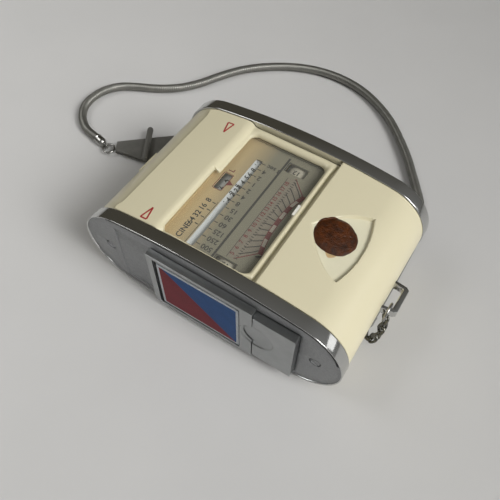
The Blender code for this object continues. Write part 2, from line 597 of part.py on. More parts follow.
# Moving-coil movement under the right casing.
MAGNET_LOW = CHASSIS_TOP + 0.3
MAGNET_HIGH = MAGNET_LOW + 7.8
COIL_LOW = CHASSIS_TOP + 1.2
COIL_HIGH = MAGNET_HIGH - 0.3
JEWEL_STACK = 1.25
ceiling = casing_z(pivot[0] + 1.6, CASING_INSET + CASING_WALL)
STAFF_TOP = ceiling - GAP - 0.1 - JEWEL_STACK
centre = (pivot[0], pivot[1], 0)
loops = [circle(*pivot, MAGNET_RADIUS, 36), circle(*pivot, MAGNET_BORE, 36)]
finish(prism("magnet_ring", loops, "Z", MAGNET_LOW, MAGNET_HIGH), *IRON)
core = prism("iron_core", [circle(*pivot, CORE_RADIUS, 28)], "Z", COIL_LOW + 0.9, COIL_HIGH - 0.9)
lug = MAGNET_BORE - 0.25
for turn in (120.0, 300.0):
    place = Matrix.Translation(centre) @ Matrix.Rotation(math.radians(turn), 4, "Z")
    arm = [box_loop(CORE_RADIUS - 1.2, lug, -0.8, 0.8)]
    name = f"core_arm_{int(turn)}"
    step = prism(name, arm, "Z", COIL_LOW + 2.2, COIL_HIGH - 2.2, matrix=place, cutter=True)
    boolean(core, step, "UNION")
finish(core, *IRON)
place = Matrix.Translation(centre) @ Matrix.Rotation(math.radians(60.0), 4, "Z")
outside = box_loop(-5.85, 5.85, COIL_LOW, COIL_HIGH)
inside = box_loop(-5.1, 5.1, COIL_LOW + 0.6, COIL_HIGH - 0.6)
coil = prism("moving_coil", [outside, inside], "Y", -0.9, 0.9, origin=centre, matrix=place)
finish(coil, *COPPER)
staff = [(0, COIL_HIGH + 0.15), (0.4, COIL_HIGH + 0.15), (0.4, STAFF_TOP), (0, STAFF_TOP)]
finish(lathe("upper_pivot", staff, centre, (0, 0, 1), 10, origin=centre), *STEEL)
staff = [(0, CHASSIS_TOP + 0.3), (0.35, CHASSIS_TOP + 0.3), (0.35, COIL_LOW - 0.15), (0, COIL_LOW - 0.15)]
finish(lathe("lower_pivot", staff, centre, (0, 0, 1), 10, origin=centre), *STEEL)
HUB_Z = STAFF_TOP - 0.7
aim = Vector((math.cos(math.radians(NEEDLE_REST)), math.sin(math.radians(NEEDLE_REST)), 0))


def along(reach, height):
    return (centre[0] + aim.x * reach, centre[1] + aim.y * reach, height)


needle_z = DIAL_TOP + 0.45
wire = [along(-4.2, HUB_Z), along(-1.05, HUB_Z)]
rise = 12.5 * WIDE
front = [along(1.05, HUB_Z), along(rise, HUB_Z), along(rise + 4.0, needle_z), along(NEEDLE_LENGTH, needle_z)]
hub = [(0.65, HUB_Z - 0.3), (1.5, HUB_Z - 0.3), (1.5, HUB_Z + 0.3), (0.65, HUB_Z + 0.3), (0.65, HUB_Z - 0.3)]
needle = lathe("needle", hub, centre, (0, 0, 1), 16, origin=centre)
boolean(needle, tube("needle_front", front, 0.2, 6, origin=centre, cutter=True), "UNION")
boolean(needle, tube("needle_tail", wire, 0.26, 6, origin=centre, cutter=True), "UNION")
finish(needle, *DARK)
bridge_top = STAFF_TOP + 0.85
leg = MAGNET_RADIUS + 2.2
y = PIVOT_Y
loop = [(y - leg, MAGNET_LOW), (y - leg, bridge_top), (y + leg, bridge_top), (y + leg, MAGNET_LOW)]
loop += [(y + leg - 1, MAGNET_LOW), (y + leg - 1, bridge_top - 0.65), (y - leg + 1, bridge_top - 0.65)]
loop.append((y - leg + 1, MAGNET_LOW))
bridge = prism("upper_bridge", [loop], "X", pivot[0] - 1.6, pivot[0] + 1.6)
hole = prism("jewel_hole", [circle(*pivot, 1.15, 16)], "Z", bridge_top - 3, bridge_top + 2, cutter=True)
boolean(bridge, hole)
finish(bridge, *BRASS)
screw = [(0, STAFF_TOP + 0.15), (0.9, STAFF_TOP + 0.15), (0.9, bridge_top + 0.4), (0, bridge_top + 0.4)]
finish(lathe("upper_jewel_screw", screw, centre, (0, 0, 1), 16), *BRASS)
screw = [(0, CHASSIS_LOW - 0.6), (1.0, CHASSIS_LOW - 0.6), (1.0, CHASSIS_TOP + 0.1), (0, CHASSIS_TOP + 0.1)]
finish(lathe("lower_jewel_screw", screw, centre, (0, 0, 1), 16), *BRASS)
turns = np.linspace(0, 6 * math.pi, 55)
radii = np.linspace(1.0, 3.3, 55)
for label, height in (("upper", HUB_Z - 1.6), ("lower", COIL_LOW - 0.45)):
    coil_path = np.stack([centre[0] + radii * np.cos(turns), centre[1] + radii * np.sin(turns),
                          np.full(55, height)], axis=1)
    finish(tube(f"{label}_hairspring", coil_path, 0.11, 4), *BRASS)
least = float(np.min(radii[18:] - radii[:-18])) - 0.22
print(f"hairspring: least gap to itself {least:.2f} mm")

# Colour slide, its card and the frame over it, on the near end plate.
FRONT_Y = -FACE_Y - FRAME_STAND - GAP
SLIDE_Y = FRONT_Y + FRAME_SHEET + 0.2
slide_home = (SLIDE_LEFT, SLIDE_Y, FRAME_LOW)
frame_loop = [box_loop(FRAME_LEFT, FRAME_RIGHT, FRAME_LOW, FRAME_HIGH)]
frame = prism("slide_frame", frame_loop, "Y", FRONT_Y, -FACE_Y - 0.25, origin=slide_home)
view = round_box(FRAME_LEFT + 2.2, POST_LEFT, FRAME_LOW + 1.1, FRAME_HIGH - 1.4, 0.4)
boolean(frame, prism("frame_view", [view], "Y", FRONT_Y - 2, FRONT_Y + 4, origin=slide_home, cutter=True))
tunnel = box_loop(FRAME_LEFT - 3, FRAME_RIGHT + 3, FRAME_LOW + 0.8, FRAME_HIGH - 1.3)
tunnel_cutter = prism(
    "frame_tunnel", [tunnel], "Y", FRONT_Y + FRAME_SHEET, -FACE_Y + 2, origin=slide_home, cutter=True)
boolean(frame, tunnel_cutter)
dish = [(0, 0.95), (3.0, 0.9), (4.5, 0.7), (5.35, 0.35), (DISH_RADIUS, 0), (DISH_RADIUS + 0.5, -0.6)]
dish += [(DISH_RADIUS + 0.5, -3), (0, -3)]
dish_place = (DISH_X, FRONT_Y, DISH_Z)
boolean(frame, lathe("frame_dish", dish, dish_place, (0, 1, 0), 40, origin=slide_home, cutter=True))
finish(frame, *CHROME)
slide_loop = [box_loop(SLIDE_LEFT, SLIDE_RIGHT, FRAME_LOW + 1.2, FRAME_HIGH - 1.7)]
slide = prism("colour_slide", slide_loop, "Y", SLIDE_Y, -FACE_Y + TRACK_DEPTH - 0.25, origin=slide_home)
thumb = [box_loop(THUMB_LEFT, SLIDE_RIGHT, FRAME_LOW + 1.2, FRAME_HIGH - 1.7)]
block = prism("thumb_block", thumb, "Y", FRONT_Y, -FACE_Y + TRACK_DEPTH - 0.25, origin=slide_home, cutter=True)
boolean(slide, block, "UNION")
boolean(slide, lathe("thumb_dish", dish, dish_place, (0, 1, 0), 40, origin=slide_home, cutter=True))
finish(slide, *ZINC)
card_loop = [box_loop(SLIDE_LEFT + 1.4, SLIDE_LEFT + 29.8, FRAME_LOW + 1.6, FRAME_HIGH - 3.0)]
card = prism("colour_card", card_loop, "Y", FRONT_Y + 0.25, FRONT_Y + FRAME_SHEET, origin=slide_home)
finish(card, (0.5, 0.5, 0.52), 0, 0.5)

# Strap lug, ring and link chain.
LUG_OUT = RIGHT_END + LUG_DEPTH - 0.6
foot = RIGHT_END - CASING_INSET - CASING_WALL - GAP
lug = [(foot - 0.9, 7.0), (foot, 7.0), (foot, 5.7), (LUG_OUT - 0.8, 4.9), (LUG_OUT, 4.2)]
lug += [(LUG_OUT, -4.2), (LUG_OUT - 0.8, -4.9), (foot, -5.7), (foot, -7.0), (foot - 0.9, -7.0)]
lug += [(foot - 0.9, -4.75), (LUG_OUT - LUG_BAR - 0.4, -4.0), (LUG_OUT - LUG_BAR, -3.6)]
lug += [(LUG_OUT - LUG_BAR, 3.6), (LUG_OUT - LUG_BAR - 0.4, 4.0), (foot - 0.9, 4.75)]
lug = [(x, y + LUG_Y) for x, y in lug]
finish(prism("strap_lug", [lug], "Z", LUG_Z - LUG_WIDTH / 2, LUG_Z + LUG_WIDTH / 2), *CHROME)

RING_X = 46.9 + SHIFT
RING_Y = LUG_Y - 4.7
RING_RADIUS = 2.75
RING_WIRE = 0.45
turns = np.arange(20) * 2 * math.pi / 20
loop = [(RING_X, RING_Y + RING_RADIUS * math.cos(t), LUG_Z - 0.4 + RING_RADIUS * math.sin(t)) for t in turns]
finish(tube("lug_ring", loop, RING_WIRE, 8, closed=True), *STEEL)


def smooth(points, count):
    """A cubic through the points, sampled evenly by length."""
    p = np.array(points, float)
    gaps = np.linalg.norm(np.diff(p, axis=0), axis=1)
    at = np.concatenate([[0], np.cumsum(gaps)])
    slope = np.gradient(p, at, axis=0)
    fine = []
    for i in range(len(p) - 1):
        t = np.linspace(0, 1, 24, endpoint=False)[:, None]
        h = gaps[i]
        fine.append((2 * t ** 3 - 3 * t ** 2 + 1) * p[i] + (t ** 3 - 2 * t ** 2 + t) * h * slope[i]
                    + (-2 * t ** 3 + 3 * t ** 2) * p[i + 1] + (t ** 3 - t ** 2) * h * slope[i + 1])
    fine = np.concatenate([*fine, p[-1:]])
    run = np.concatenate([[0], np.cumsum(np.linalg.norm(np.diff(fine, axis=0), axis=1))])
    want = np.linspace(0, run[-1], count)
    return np.stack([np.interp(want, run, fine[:, k]) for k in range(3)], axis=1), run[-1]


ring_low = LUG_Z - 0.4 - RING_RADIUS + RING_WIRE + LINK_WIRE + 0.25
hang = [(46.9, RING_Y, ring_low), (47.4, -5.3, 11.2), (47.3, -6.7, 7.4), (46.4, -7.7, 4.3)]
hang += [(45.0, -7.6, 2.5), (43.5, -6.2, 2.1), (42.6, -4.3, 2.1)]
hang = [(x + SHIFT, y, z) for x, y, z in hang]
path, run = smooth(hang, 401)
bite = 1.6 * LINK_WIRE
half = (run + (LINK_COUNT - 1) * bite) / (2 * LINK_COUNT)
wide = np.array((1.0, 0.0, 0.0))
links = []
for i in range(LINK_COUNT):
    spot = half + i * (2 * half - bite)
    first, last = (path[int(np.clip(round(s / run * 400), 0, 400))] for s in (spot - half, spot + half))
    tangent = (last - first) / np.linalg.norm(last - first)
    wide = wide - tangent * float(wide @ tangent)
    wide /= np.linalg.norm(wide)
    across = wide if i % 2 == 0 else np.cross(tangent, wide)
    turns = np.arange(14) * 2 * math.pi / 14
    reach = np.linalg.norm(last - first) / 2
    grow = np.sign(np.cos(turns)) * np.abs(np.cos(turns)) ** 0.8
    loop = (first + last) / 2 + reach * grow[:, None] * tangent + 1.25 * np.sin(turns)[:, None] * across
    links.append(tube("link_chain" if i == 0 else f"link_{i}", loop, LINK_WIRE, 6, True, cutter=i > 0))
    if i:
        boolean(links[0], links[i], "UNION")
finish(links[0], *STEEL)
last_wide = across


# Snake chain on the table, with an end cap and an eye at each end.
def end_cap(name, eye, axis, aim, length):
    """A turned cap that starts beside its eye and runs along aim, joined to a ring whose hole follows axis."""
    aim = Vector(aim).normalized()
    hole = Vector(axis)
    hole = (hole - aim * hole.dot(aim)).normalized()
    other = hole.cross(aim)
    steps = [2 * math.pi * k / 14 for k in range(14)]
    ring = [Vector(eye) + 1.15 * (math.cos(t) * aim + math.sin(t) * other) for t in steps]
    profile = [(0, 1.0), (0.8, 1.0), (1.5, 1.6), (1.85, 2.3), (1.85, length), (0, length)]
    cap = lathe(name, profile, tuple(eye), tuple(aim), 16)
    boolean(cap, tube(f"{name}_eye", ring, 0.38, 6, True, cutter=True), "UNION")
    return finish(cap, *STEEL)


CAP = 5.4
CAP_Z = 2.1
body_eye = np.array(hang[-1])
end_cap("body_end_cap", body_eye, last_wide, (0.0, 1.0, 0.0), CAP)
route = [(42.6, body_eye[1] + CAP + 0.3), (42.6, 12), (42.5, 24), (42.2, 34), (40.8, 44), (37.6, 52)]
route += [(33.2, 58.9), (29.3, 64.3), (24.4, 71.0), (18, 78.4), (10.2, 86.2), (2.5, 91.8), (-6.3, 96.2)]
route += [(-14.6, 98.4), (-22.1, 98.9), (-29.2, 98.1), (-35.8, 96.2), (-41.9, 93.4), (-47.6, 89.9), (-53, 85.6)]
route += [(-59.1, 79.2), (-64.3, 71.2), (-69, 62.6), (-74.1, 56), (-79.5, 51.6), (-85.2, 48.3), (-91.2, 45.4)]
route += [(-96.4, 42), (-100, 37.2), (-101.6, 31.6), (-101.2, 25.6), (-98, 19.9), (-91.6, 15)]

ALONG = Vector((math.cos(math.radians(CLIP_ANGLE)), math.sin(math.radians(CLIP_ANGLE)), 0))
TIP = Vector((-75.0 + SHIFT, 12.3, 0))
CLIP_RING = 2.2
ring_middle = TIP - ALONG * (CLIP_RING - 0.3)
cap_aim = Vector((-0.97, 0.243, 0)).normalized()
clip_eye = ring_middle + cap_aim * CLIP_RING + Vector((0, 0, CAP_Z))
end_cap("clip_end_cap", clip_eye, (0.243, 0.97, 0), cap_aim, CAP)
chain_end = clip_eye + cap_aim * (CAP + 0.3)
route = [(x + SHIFT, y, CHAIN_HEIGHT) for x, y in route]
route.append((chain_end.x, chain_end.y, CHAIN_HEIGHT))
chain, chain_length = smooth(route, 56)
finish(tube("snake_chain", chain, CHAIN_RADIUS, 8), *STEEL)
print(f"snake chain length {chain_length:.1f} mm, links {run:.1f} mm")
turns = np.arange(18) * 2 * math.pi / 18
loop = [ring_middle + Vector((CLIP_RING * math.cos(t), CLIP_RING * math.sin(t), CAP_Z)) for t in turns]
finish(tube("clip_ring", loop, 0.4, 6, closed=True), *STEEL)

# Spring clip at the far end of the chain. Its own frame: u along the clip, v across, z up.
clip_place = Matrix.Translation(TIP) @ Matrix.Rotation(math.radians(CLIP_ANGLE), 4, "Z")
PIN_U = 13.5
PIN_Z = 4.2
PIN_RADIUS = 0.95
PIN_HOLE = 1.2
pin_home = tuple(clip_place @ Vector((PIN_U, 0, PIN_Z)))


def trapezoid(u0, u1, trim):
    return [(u0, -1.9 - 0.3 * u0 + trim), (u1, -1.9 - 0.3 * u1 + trim), (u1, 1.9 + 0.3 * u1 - trim),
            (u0, 1.9 + 0.3 * u0 - trim)]


base = prism("clip_base", [trapezoid(0.6, CLIP_LENGTH, 0)], "Z", 0.3, 0.95, matrix=clip_place)
eye = [circle(0.3, CAP_Z, 1.45, 20), circle(0.3, CAP_Z, 0.85, 20)]
eye_ring = prism("clip_eye", eye, "Y", -0.7, 0.7, matrix=clip_place, cutter=True)
boolean(base, eye_ring, "UNION")
jaw = prism("clip_jaw_lip", [trapezoid(22.0, 22.7, 0.8)], "Z", 0.6, 1.2, matrix=clip_place, cutter=True)
boolean(base, jaw, "UNION")
for word, v in (("far", 4.4), ("near", -5.0)):
    ear = [round_box(PIN_U - 1.7, PIN_U + 1.7, 0.5, PIN_Z + 1.7, 0.5), circle(PIN_U, PIN_Z, PIN_HOLE, 16)]
    boolean(base, prism(f"clip_ear_{word}", ear, "Y", v, v + 0.6, matrix=clip_place, cutter=True), "UNION")
finish(base, *STEEL)
TILT = math.radians(5.0)
lever_place = clip_place @ Matrix.Translation((PIN_U, 0, PIN_Z)) @ Matrix.Rotation(TILT, 4, "Y")
sheet = [(u - PIN_U, v) for u, v in trapezoid(2.4, CLIP_LENGTH - 0.3, 0.7)]
lever = prism("clip_lever", [sheet], "Z", -1.95, -1.35, origin=pin_home, matrix=lever_place)
for word, low, high in (("near", -9.0, -3.9), ("far", 3.9, 9.0)):
    gap = prism(f"lever_notch_{word}", [box_loop(-2.3, 2.3, low, high)], "Z", -3, 0, origin=pin_home,
                matrix=lever_place, cutter=True)
    boolean(lever, gap)
for word, v in (("near", -3.0), ("far", 1.6)):
    knuckle = [circle(0, 0, 1.65, 20), circle(0, 0, PIN_HOLE, 20)]
    step = prism(f"lever_knuckle_{word}", knuckle, "Y", v, v + 1.4, origin=pin_home, matrix=lever_place,
                 cutter=True)
    boolean(lever, step, "UNION")
finish(lever, *STEEL)
pin = [(0, -6.4), (PIN_RADIUS, -6.4), (PIN_RADIUS, 8.6), (1.15, 8.8), (1.15, 9.6), (0.7, 10.2), (0, 10.2)]
axis = clip_place.to_3x3() @ Vector((0, 1, 0))
finish(lathe("clip_pin", pin, pin_home, tuple(axis), 14), *STEEL)
leaf = [(4.0, 1.2), (9.8, 1.2), (9.8, 1.5), (6.6, 1.6), (4.6, 2.9), (4.2, 2.9), (5.8, 1.5), (4.0, 1.5)]
finish(prism("clip_spring", [leaf], "Y", -1.0, 1.0, matrix=clip_place), *BRASS)
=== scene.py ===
"""Selenium light meter with its neck chain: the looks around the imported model, laid out as an add-on."""

import json
import math

import bmesh
import bpy
import numpy as np
from bpy.props import FloatProperty, FloatVectorProperty, PointerProperty
from mathutils import Matrix, Vector


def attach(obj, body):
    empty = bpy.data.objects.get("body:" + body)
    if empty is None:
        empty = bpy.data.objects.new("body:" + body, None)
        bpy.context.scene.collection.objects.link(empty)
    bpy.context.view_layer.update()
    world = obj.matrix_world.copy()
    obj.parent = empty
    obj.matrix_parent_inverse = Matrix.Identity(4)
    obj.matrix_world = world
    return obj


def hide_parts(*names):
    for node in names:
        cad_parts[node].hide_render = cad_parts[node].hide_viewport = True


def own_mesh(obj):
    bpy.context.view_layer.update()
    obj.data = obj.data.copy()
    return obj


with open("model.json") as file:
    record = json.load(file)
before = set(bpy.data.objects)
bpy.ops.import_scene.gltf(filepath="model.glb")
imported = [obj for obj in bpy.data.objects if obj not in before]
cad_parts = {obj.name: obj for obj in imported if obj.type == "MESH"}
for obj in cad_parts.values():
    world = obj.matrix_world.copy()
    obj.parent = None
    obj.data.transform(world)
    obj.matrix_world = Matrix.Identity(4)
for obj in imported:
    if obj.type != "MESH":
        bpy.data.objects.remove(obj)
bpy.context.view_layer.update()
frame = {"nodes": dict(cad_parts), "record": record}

bl_info = {
    "name": "Selenium light meter",
    "version": (1, 0, 0),
    "blender": (4, 5, 0),
    "location": "View3D > Sidebar > Meter",
    "description": "Builds the cream light meter, its dial print, its neck chain and a plain stage",
    "category": "Add Mesh",
}

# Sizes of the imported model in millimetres, angles in degrees, and the counts that its curves are drawn with.
MM = 0.001
HALF, MID = 18.15, 17.85
CENTRE_X, END_X, END_RADIUS = -0.4, 29.4, 16.0
CROWN = (END_X ** 2 + HALF ** 2 - END_RADIUS ** 2) / (2 * (HALF - END_RADIUS))
CROWN_ANGLE = math.degrees(math.atan2(END_X, CROWN - HALF))
LEFT_X = CENTRE_X - END_X
INNER_Y, FLANGE_Y, END_Y = 25.7, 27.7, 30.0
CASE_Y = 25.45
RIM_WALL, RIM_DEPTH, RIM_BACK, RIM_STEP = 0.45, 6.0, 0.3, 0.7
DIAL_TOP = 30.7
PANE_TOP = 32.4
CASING_LEFT = 13.9
CASING_INSET, CASING_WALL = 0.3, 2.0
PANEL_INSET = 0.3
PANEL_RIGHT = 13.6
SHOULDER_X, SHOULDER_END = -20.6, -17.9
BEZEL_TOP, LIP_ROUND = 33.4, 0.9
DRUM_X, DRUM_Z, DRUM_RADIUS = -12.6, 23.3, 6.5
FILM_X, FILM_Z, FILM_RADIUS = 2.1, 25.4, 4.4
BLIND_OUT, BLIND_WALL = 15.25, 0.8
BLIND_FROM, BLIND_TO, GRIP_AT = 107.0, 257.5, 145.0
GRIP_Y, GRIP_HALF = -1.75, 3.6
LUG_RING = (46.9, -4.1, 17.45)
FAN_APEX, FAN_MIDDLE = 17.0, np.array((26.5, 0.0))
CHAIN_Z, CHAIN_RADIUS, CHAIN_SIDES, CHAIN_STEPS = 1.9, 1.7, 24, 5
CLIP_TIP = np.array((-75.0, 12.3, 0.0))
CLIP_ANGLE = math.radians(29.6)
CLIP_ALONG = np.array((math.cos(CLIP_ANGLE), math.sin(CLIP_ANGLE), 0.0))
CLIP_ACROSS = np.array((-CLIP_ALONG[1], CLIP_ALONG[0], 0.0))
CLIP_RING, CLIP_SHEET, SPRING_FOOT = 2.2, 0.62, 1.2
CAP_LENGTH, CAP_Z = 5.4, 2.1
PIN_U, PIN_Z = 13.5, 4.2
LINK_COUNT, LINK_WIRE, LINK_BITE, LINK_STEPS = 7, 0.42, 1.75, 400
TICK, PRINT = 0.15, 0.01
GLUE_SPOT, STAIN_SPOT = (24.75, 0.55), (26.1, -5.0)

# Points that the short chain hangs along, and the snake chain's route over the table in x and y.
LINK_HANG = [(46.9, -4.1, 15.82), (47.4, -5.3, 11.2), (47.3, -6.7, 7.4), (46.4, -7.7, 4.3), (45.0, -7.6, 2.5),
             (43.5, -6.2, 2.1), (42.6, -4.3, 2.1)]
CHAIN_ROUTE = [
    (42.6, 1.4), (42.6, 12), (42.5, 24), (42.2, 34), (40.8, 44), (37.6, 52), (33.2, 58.9), (29.3, 64.3),
    (24.4, 71.0), (18, 78.4), (10.2, 86.2), (2.5, 91.8), (-6.3, 96.2), (-14.6, 98.4), (-22.1, 98.9),
    (-29.2, 98.1), (-35.8, 96.2), (-41.9, 93.4), (-47.6, 89.9), (-53, 85.6), (-59.1, 79.2), (-64.3, 71.2),
    (-69, 62.6), (-74.1, 56), (-79.5, 51.6), (-85.2, 48.3), (-91.2, 45.4), (-96.4, 42), (-100, 37.2),
    (-101.6, 31.6), (-101.2, 25.6), (-98, 19.9), (-91.6, 15),
]

# Figures of the dial: exposure times with their places along Y, and the two film speeds of each drum row.
TIMES = [
    ("500", -21.2), ("250", -18.1), ("125", -15.1), ("60", -12.1), ("30", -9.05), ("15", -6.0), ("8", -3.0),
    ("4", 0.0), ("2", 3.0), ("1", 6.0), ("2", 9.1), ("4", 12.1), ("8 sec", 14.9),
]
FILM_SPEEDS = (("12", "12"), ("25", "15"), ("50", "18"), ("100", "21"), ("200", "24"), ("400", "27"))

# Camera of the photograph: its place in millimetres and the directions of its image.
CAMERA_SPOT = (52.157, -90.543, 164.252)
IMAGE_RIGHT = (0.84322, 0.53746, 0.01069)
IMAGE_DOWN = (0.45287, -0.69951, -0.55281)
IMAGE_AHEAD = (-0.28963, 0.47098, -0.83324)
FOCAL_LENGTH, SENSOR_WIDTH = 40.305, 36.0

# Half the table's side in metres, the way the room is lightest and how bright it is, and the lamps: name,
# place, aim, size in metres, power in watts, spread in degrees.
TABLE = 3.0
ROOM_AIM, ROOM_STRENGTH = (0.8, -0.52, 0.3), 0.42
LAMPS = (
    ("window_light", (1.0, -0.25, 0.9), (-0.13, -0.16, 0.0), 0.9, 2.4, 40.0),
    ("left_fill", (-0.75, -0.2, 0.8), (-0.3, -0.05, 0.0), 0.6, 0.4, 50.0),
    ("side_window", (0.84, 0.41, 0.3), (0.0, 0.0, 0.02), 0.3, 0.33, 180.0),
)


def linear(colour):
    """sRGB hex to the linear red, green and blue that Blender works in."""
    parts = np.array([int(colour[i:i + 2], 16) for i in (1, 3, 5)]) / 255
    return tuple(np.where(parts <= 0.04045, parts / 12.92, ((parts + 0.055) / 1.055) ** 2.4).tolist())


def per(size_mm):
    """Texture scale on Object coordinates, in metres, for a pattern of this size in millimetres."""
    return 1000.0 / size_mm


def add(tree, kind, inputs=(), **settings):
    """Adds one node, sets its settings, and gives each named input a value or a link."""
    made = tree.nodes.new(kind)
    for key, value in settings.items():
        setattr(made, key, value)
    for key, value in dict(inputs).items():
        if isinstance(value, bpy.types.NodeSocket):
            tree.links.new(value, made.inputs[key])
        else:
            made.inputs[key].default_value = value
    return made


def tint(colour, factor):
    """The colour with each channel times a factor, with alpha."""
    return (*[min(1.0, c * factor) for c in colour], 1.0)


def surface(name, colour, rough, metallic=0.0, mottle=8.0, depth=0.08, grain=0.4, bump=0.05, stretch=None,
            rough_swing=0.08, **sockets):
    """A material of one substance: cloudy colour at one size, and finer grain in roughness and bump."""
    found = bpy.data.materials.get(name)
    if found:
        return found
    made = bpy.data.materials.new(name)
    made.use_nodes = True
    tree = made.node_tree
    shader = tree.nodes["Principled BSDF"]
    where = add(tree, "ShaderNodeTexCoord").outputs["Object"]
    fine = where
    if stretch:
        fine = add(tree, "ShaderNodeMapping", {"Vector": where, "Scale": stretch}).outputs["Vector"]
    cloud = add(tree, "ShaderNodeTexNoise", {"Vector": where, "Scale": per(mottle), "Detail": 4.0})
    ramp = add(tree, "ShaderNodeValToRGB", {"Fac": cloud.outputs["Fac"]})
    ramp.color_ramp.elements[0].position = 0.3
    ramp.color_ramp.elements[1].position = 0.7
    ramp.color_ramp.elements[0].color = tint(colour, 1 - depth)
    ramp.color_ramp.elements[1].color = tint(colour, 1 + depth * 0.6)
    tree.links.new(ramp.outputs["Color"], shader.inputs["Base Color"])
    grit = add(tree, "ShaderNodeTexNoise", {"Vector": fine, "Scale": per(grain), "Detail": 3.0})
    span = add(tree, "ShaderNodeMapRange", {
        "Value": grit.outputs["Fac"], "From Min": 0.3, "From Max": 0.7,
        "To Min": max(0.02, rough - rough_swing), "To Max": rough + rough_swing})
    tree.links.new(span.outputs["Result"], shader.inputs["Roughness"])
    relief = add(tree, "ShaderNodeBump", {
        "Height": grit.outputs["Fac"], "Strength": bump, "Distance": 0.0002})
    tree.links.new(relief.outputs["Normal"], shader.inputs["Normal"])
    shader.inputs["Metallic"].default_value = metallic
    for key, value in sockets.items():
        shader.inputs[key.replace("_", " ")].default_value = value
    return made


def grid_faces(rows, cols, close_rows=False, close_cols=False):
    """Quads of a grid of points, row by row, joined end to end where a direction closes."""
    r = np.arange(rows if close_rows else rows - 1)
    c = np.arange(cols if close_cols else cols - 1)
    r, c = np.meshgrid(r, c, indexing="ij")
    after = (r + 1) % rows
    beside = (c + 1) % cols
    quads = [r * cols + c, r * cols + beside, after * cols + beside, after * cols + c]
    return np.stack(quads, -1).reshape(-1, 4).tolist()


def put(name, surfaces, material, body="housing", replaced=(), keep_edges=38.0):
    """One object of closed surfaces given in millimetres, with merged poles and outward faces, on a body."""
    points, faces, base = [], [], 0
    for spots, quads in surfaces:
        spots = np.asarray(spots, float).reshape(-1, 3)
        points.append(spots)
        faces += [[base + i for i in quad] for quad in quads]
        base += len(spots)
    mesh = bpy.data.meshes.new(name)
    mesh.from_pydata((np.concatenate(points) * MM).tolist(), [], faces)
    work = bmesh.new()
    work.from_mesh(mesh)
    bmesh.ops.remove_doubles(work, verts=work.verts, dist=4e-7)
    bmesh.ops.dissolve_degenerate(work, dist=1e-7, edges=work.edges)
    bmesh.ops.recalc_face_normals(work, faces=work.faces)
    work.to_mesh(mesh)
    work.free()
    mesh.polygons.foreach_set("use_smooth", np.ones(len(mesh.polygons), bool))
    mesh.set_sharp_from_angle(angle=math.radians(keep_edges))
    mesh.materials.append(material)
    made = bpy.data.objects.new(name, mesh)
    bpy.context.scene.collection.objects.link(made)
    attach(made, body)
    if replaced:
        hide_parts(*replaced)
    return made


def unit(ways):
    """Each direction, a row of numbers, brought to a length of one."""
    ways = np.asarray(ways, float)
    return ways / np.linalg.norm(ways, axis=-1, keepdims=True)


def circle(count):
    """Angles of a full turn in equal steps, in radians."""
    return np.arange(count) * 2 * math.pi / count


def run_along(points):
    """Length along a row of points, from the first to each of them."""
    return np.concatenate([[0], np.cumsum(np.linalg.norm(np.diff(points, axis=0), axis=1))])


def quadratic(a, b, c, t):
    """A curve from a to c drawn toward b: weights of (1 - t) squared, 2 t (1 - t) and t squared."""
    return (1 - t) ** 2 * a + 2 * t * (1 - t) * np.asarray(b) + t ** 2 * c


def tube(path, radius, sides, aside, closed=False):
    """A circle carried along a path: each ring is square to it and starts on the side across from aside."""
    path = np.asarray(path, float)
    run = unit(np.roll(path, -1, 0) - np.roll(path, 1, 0) if closed else np.gradient(path, axis=0))
    side = unit(np.cross(run, np.asarray(aside, float)))
    up = np.cross(side, run)
    phi = circle(sides)
    radius = np.broadcast_to(np.asarray(radius, float), (len(path), sides))[..., None]
    spoke = np.cos(phi)[:, None] * side[:, None] + np.sin(phi)[:, None] * up[:, None]
    rings = path[:, None] + radius * spoke
    faces = grid_faces(len(path), sides, closed, True)
    if not closed:
        last = (len(path) - 1) * sides
        faces += [list(range(sides))[::-1], [last + i for i in range(sides)]]
    return rings, faces


def turned(profile, base, axis, sides=40):
    """A profile of (radius, height) turned about an axis through a base point, from pole to pole."""
    axis = unit(axis)
    other = unit(np.cross(axis, (0.3, 0.5, 0.8)))
    third = np.cross(axis, other)
    phi = circle(sides)[:, None]
    profile = np.asarray(profile, float)[:, None, None, :]
    spoke = np.cos(phi) * other + np.sin(phi) * third
    spots = np.asarray(base, float) + profile[..., 1] * axis + profile[..., 0] * spoke
    return spots, grid_faces(len(profile), sides, False, True)


def torus(middle, normal, radius, wire, count=56, sides=14):
    """A round wire bent into a circle about a normal."""
    normal = unit(normal)
    other = unit(np.cross(normal, (0.31, 0.52, 0.79)))
    t = circle(count)[:, None]
    path = np.asarray(middle, float) + radius * (np.cos(t) * other + np.sin(t) * np.cross(normal, other))
    return tube(path, wire, sides, normal, True)


def slab(outline, low, high):
    """A flat outline in x and y given thickness from low to high."""
    outline = np.asarray(outline, float)
    count = len(outline)
    rows = np.stack([np.column_stack([outline, np.full(count, z)]) for z in (low, high)])
    faces = grid_faces(2, count, False, True)
    return rows, [*faces, list(range(count))[::-1], [count + i for i in range(count)]]


def stroke(points, width, low, high):
    """A flat line of one width along points in x and y, as a thin bar."""
    path = np.asarray(points, float)
    run = unit(np.gradient(path, axis=0))
    aside = np.column_stack([-run[:, 1], run[:, 0]]) * width / 2
    return slab(np.concatenate([path + aside, (path - aside)[::-1]]), low, high)


def bar(x0, x1, y0, y1, low, high):
    """A flat rectangle in x and y given thickness from low to high."""
    return slab([(x0, y0), (x1, y0), (x1, y1), (x0, y1)], low, high)


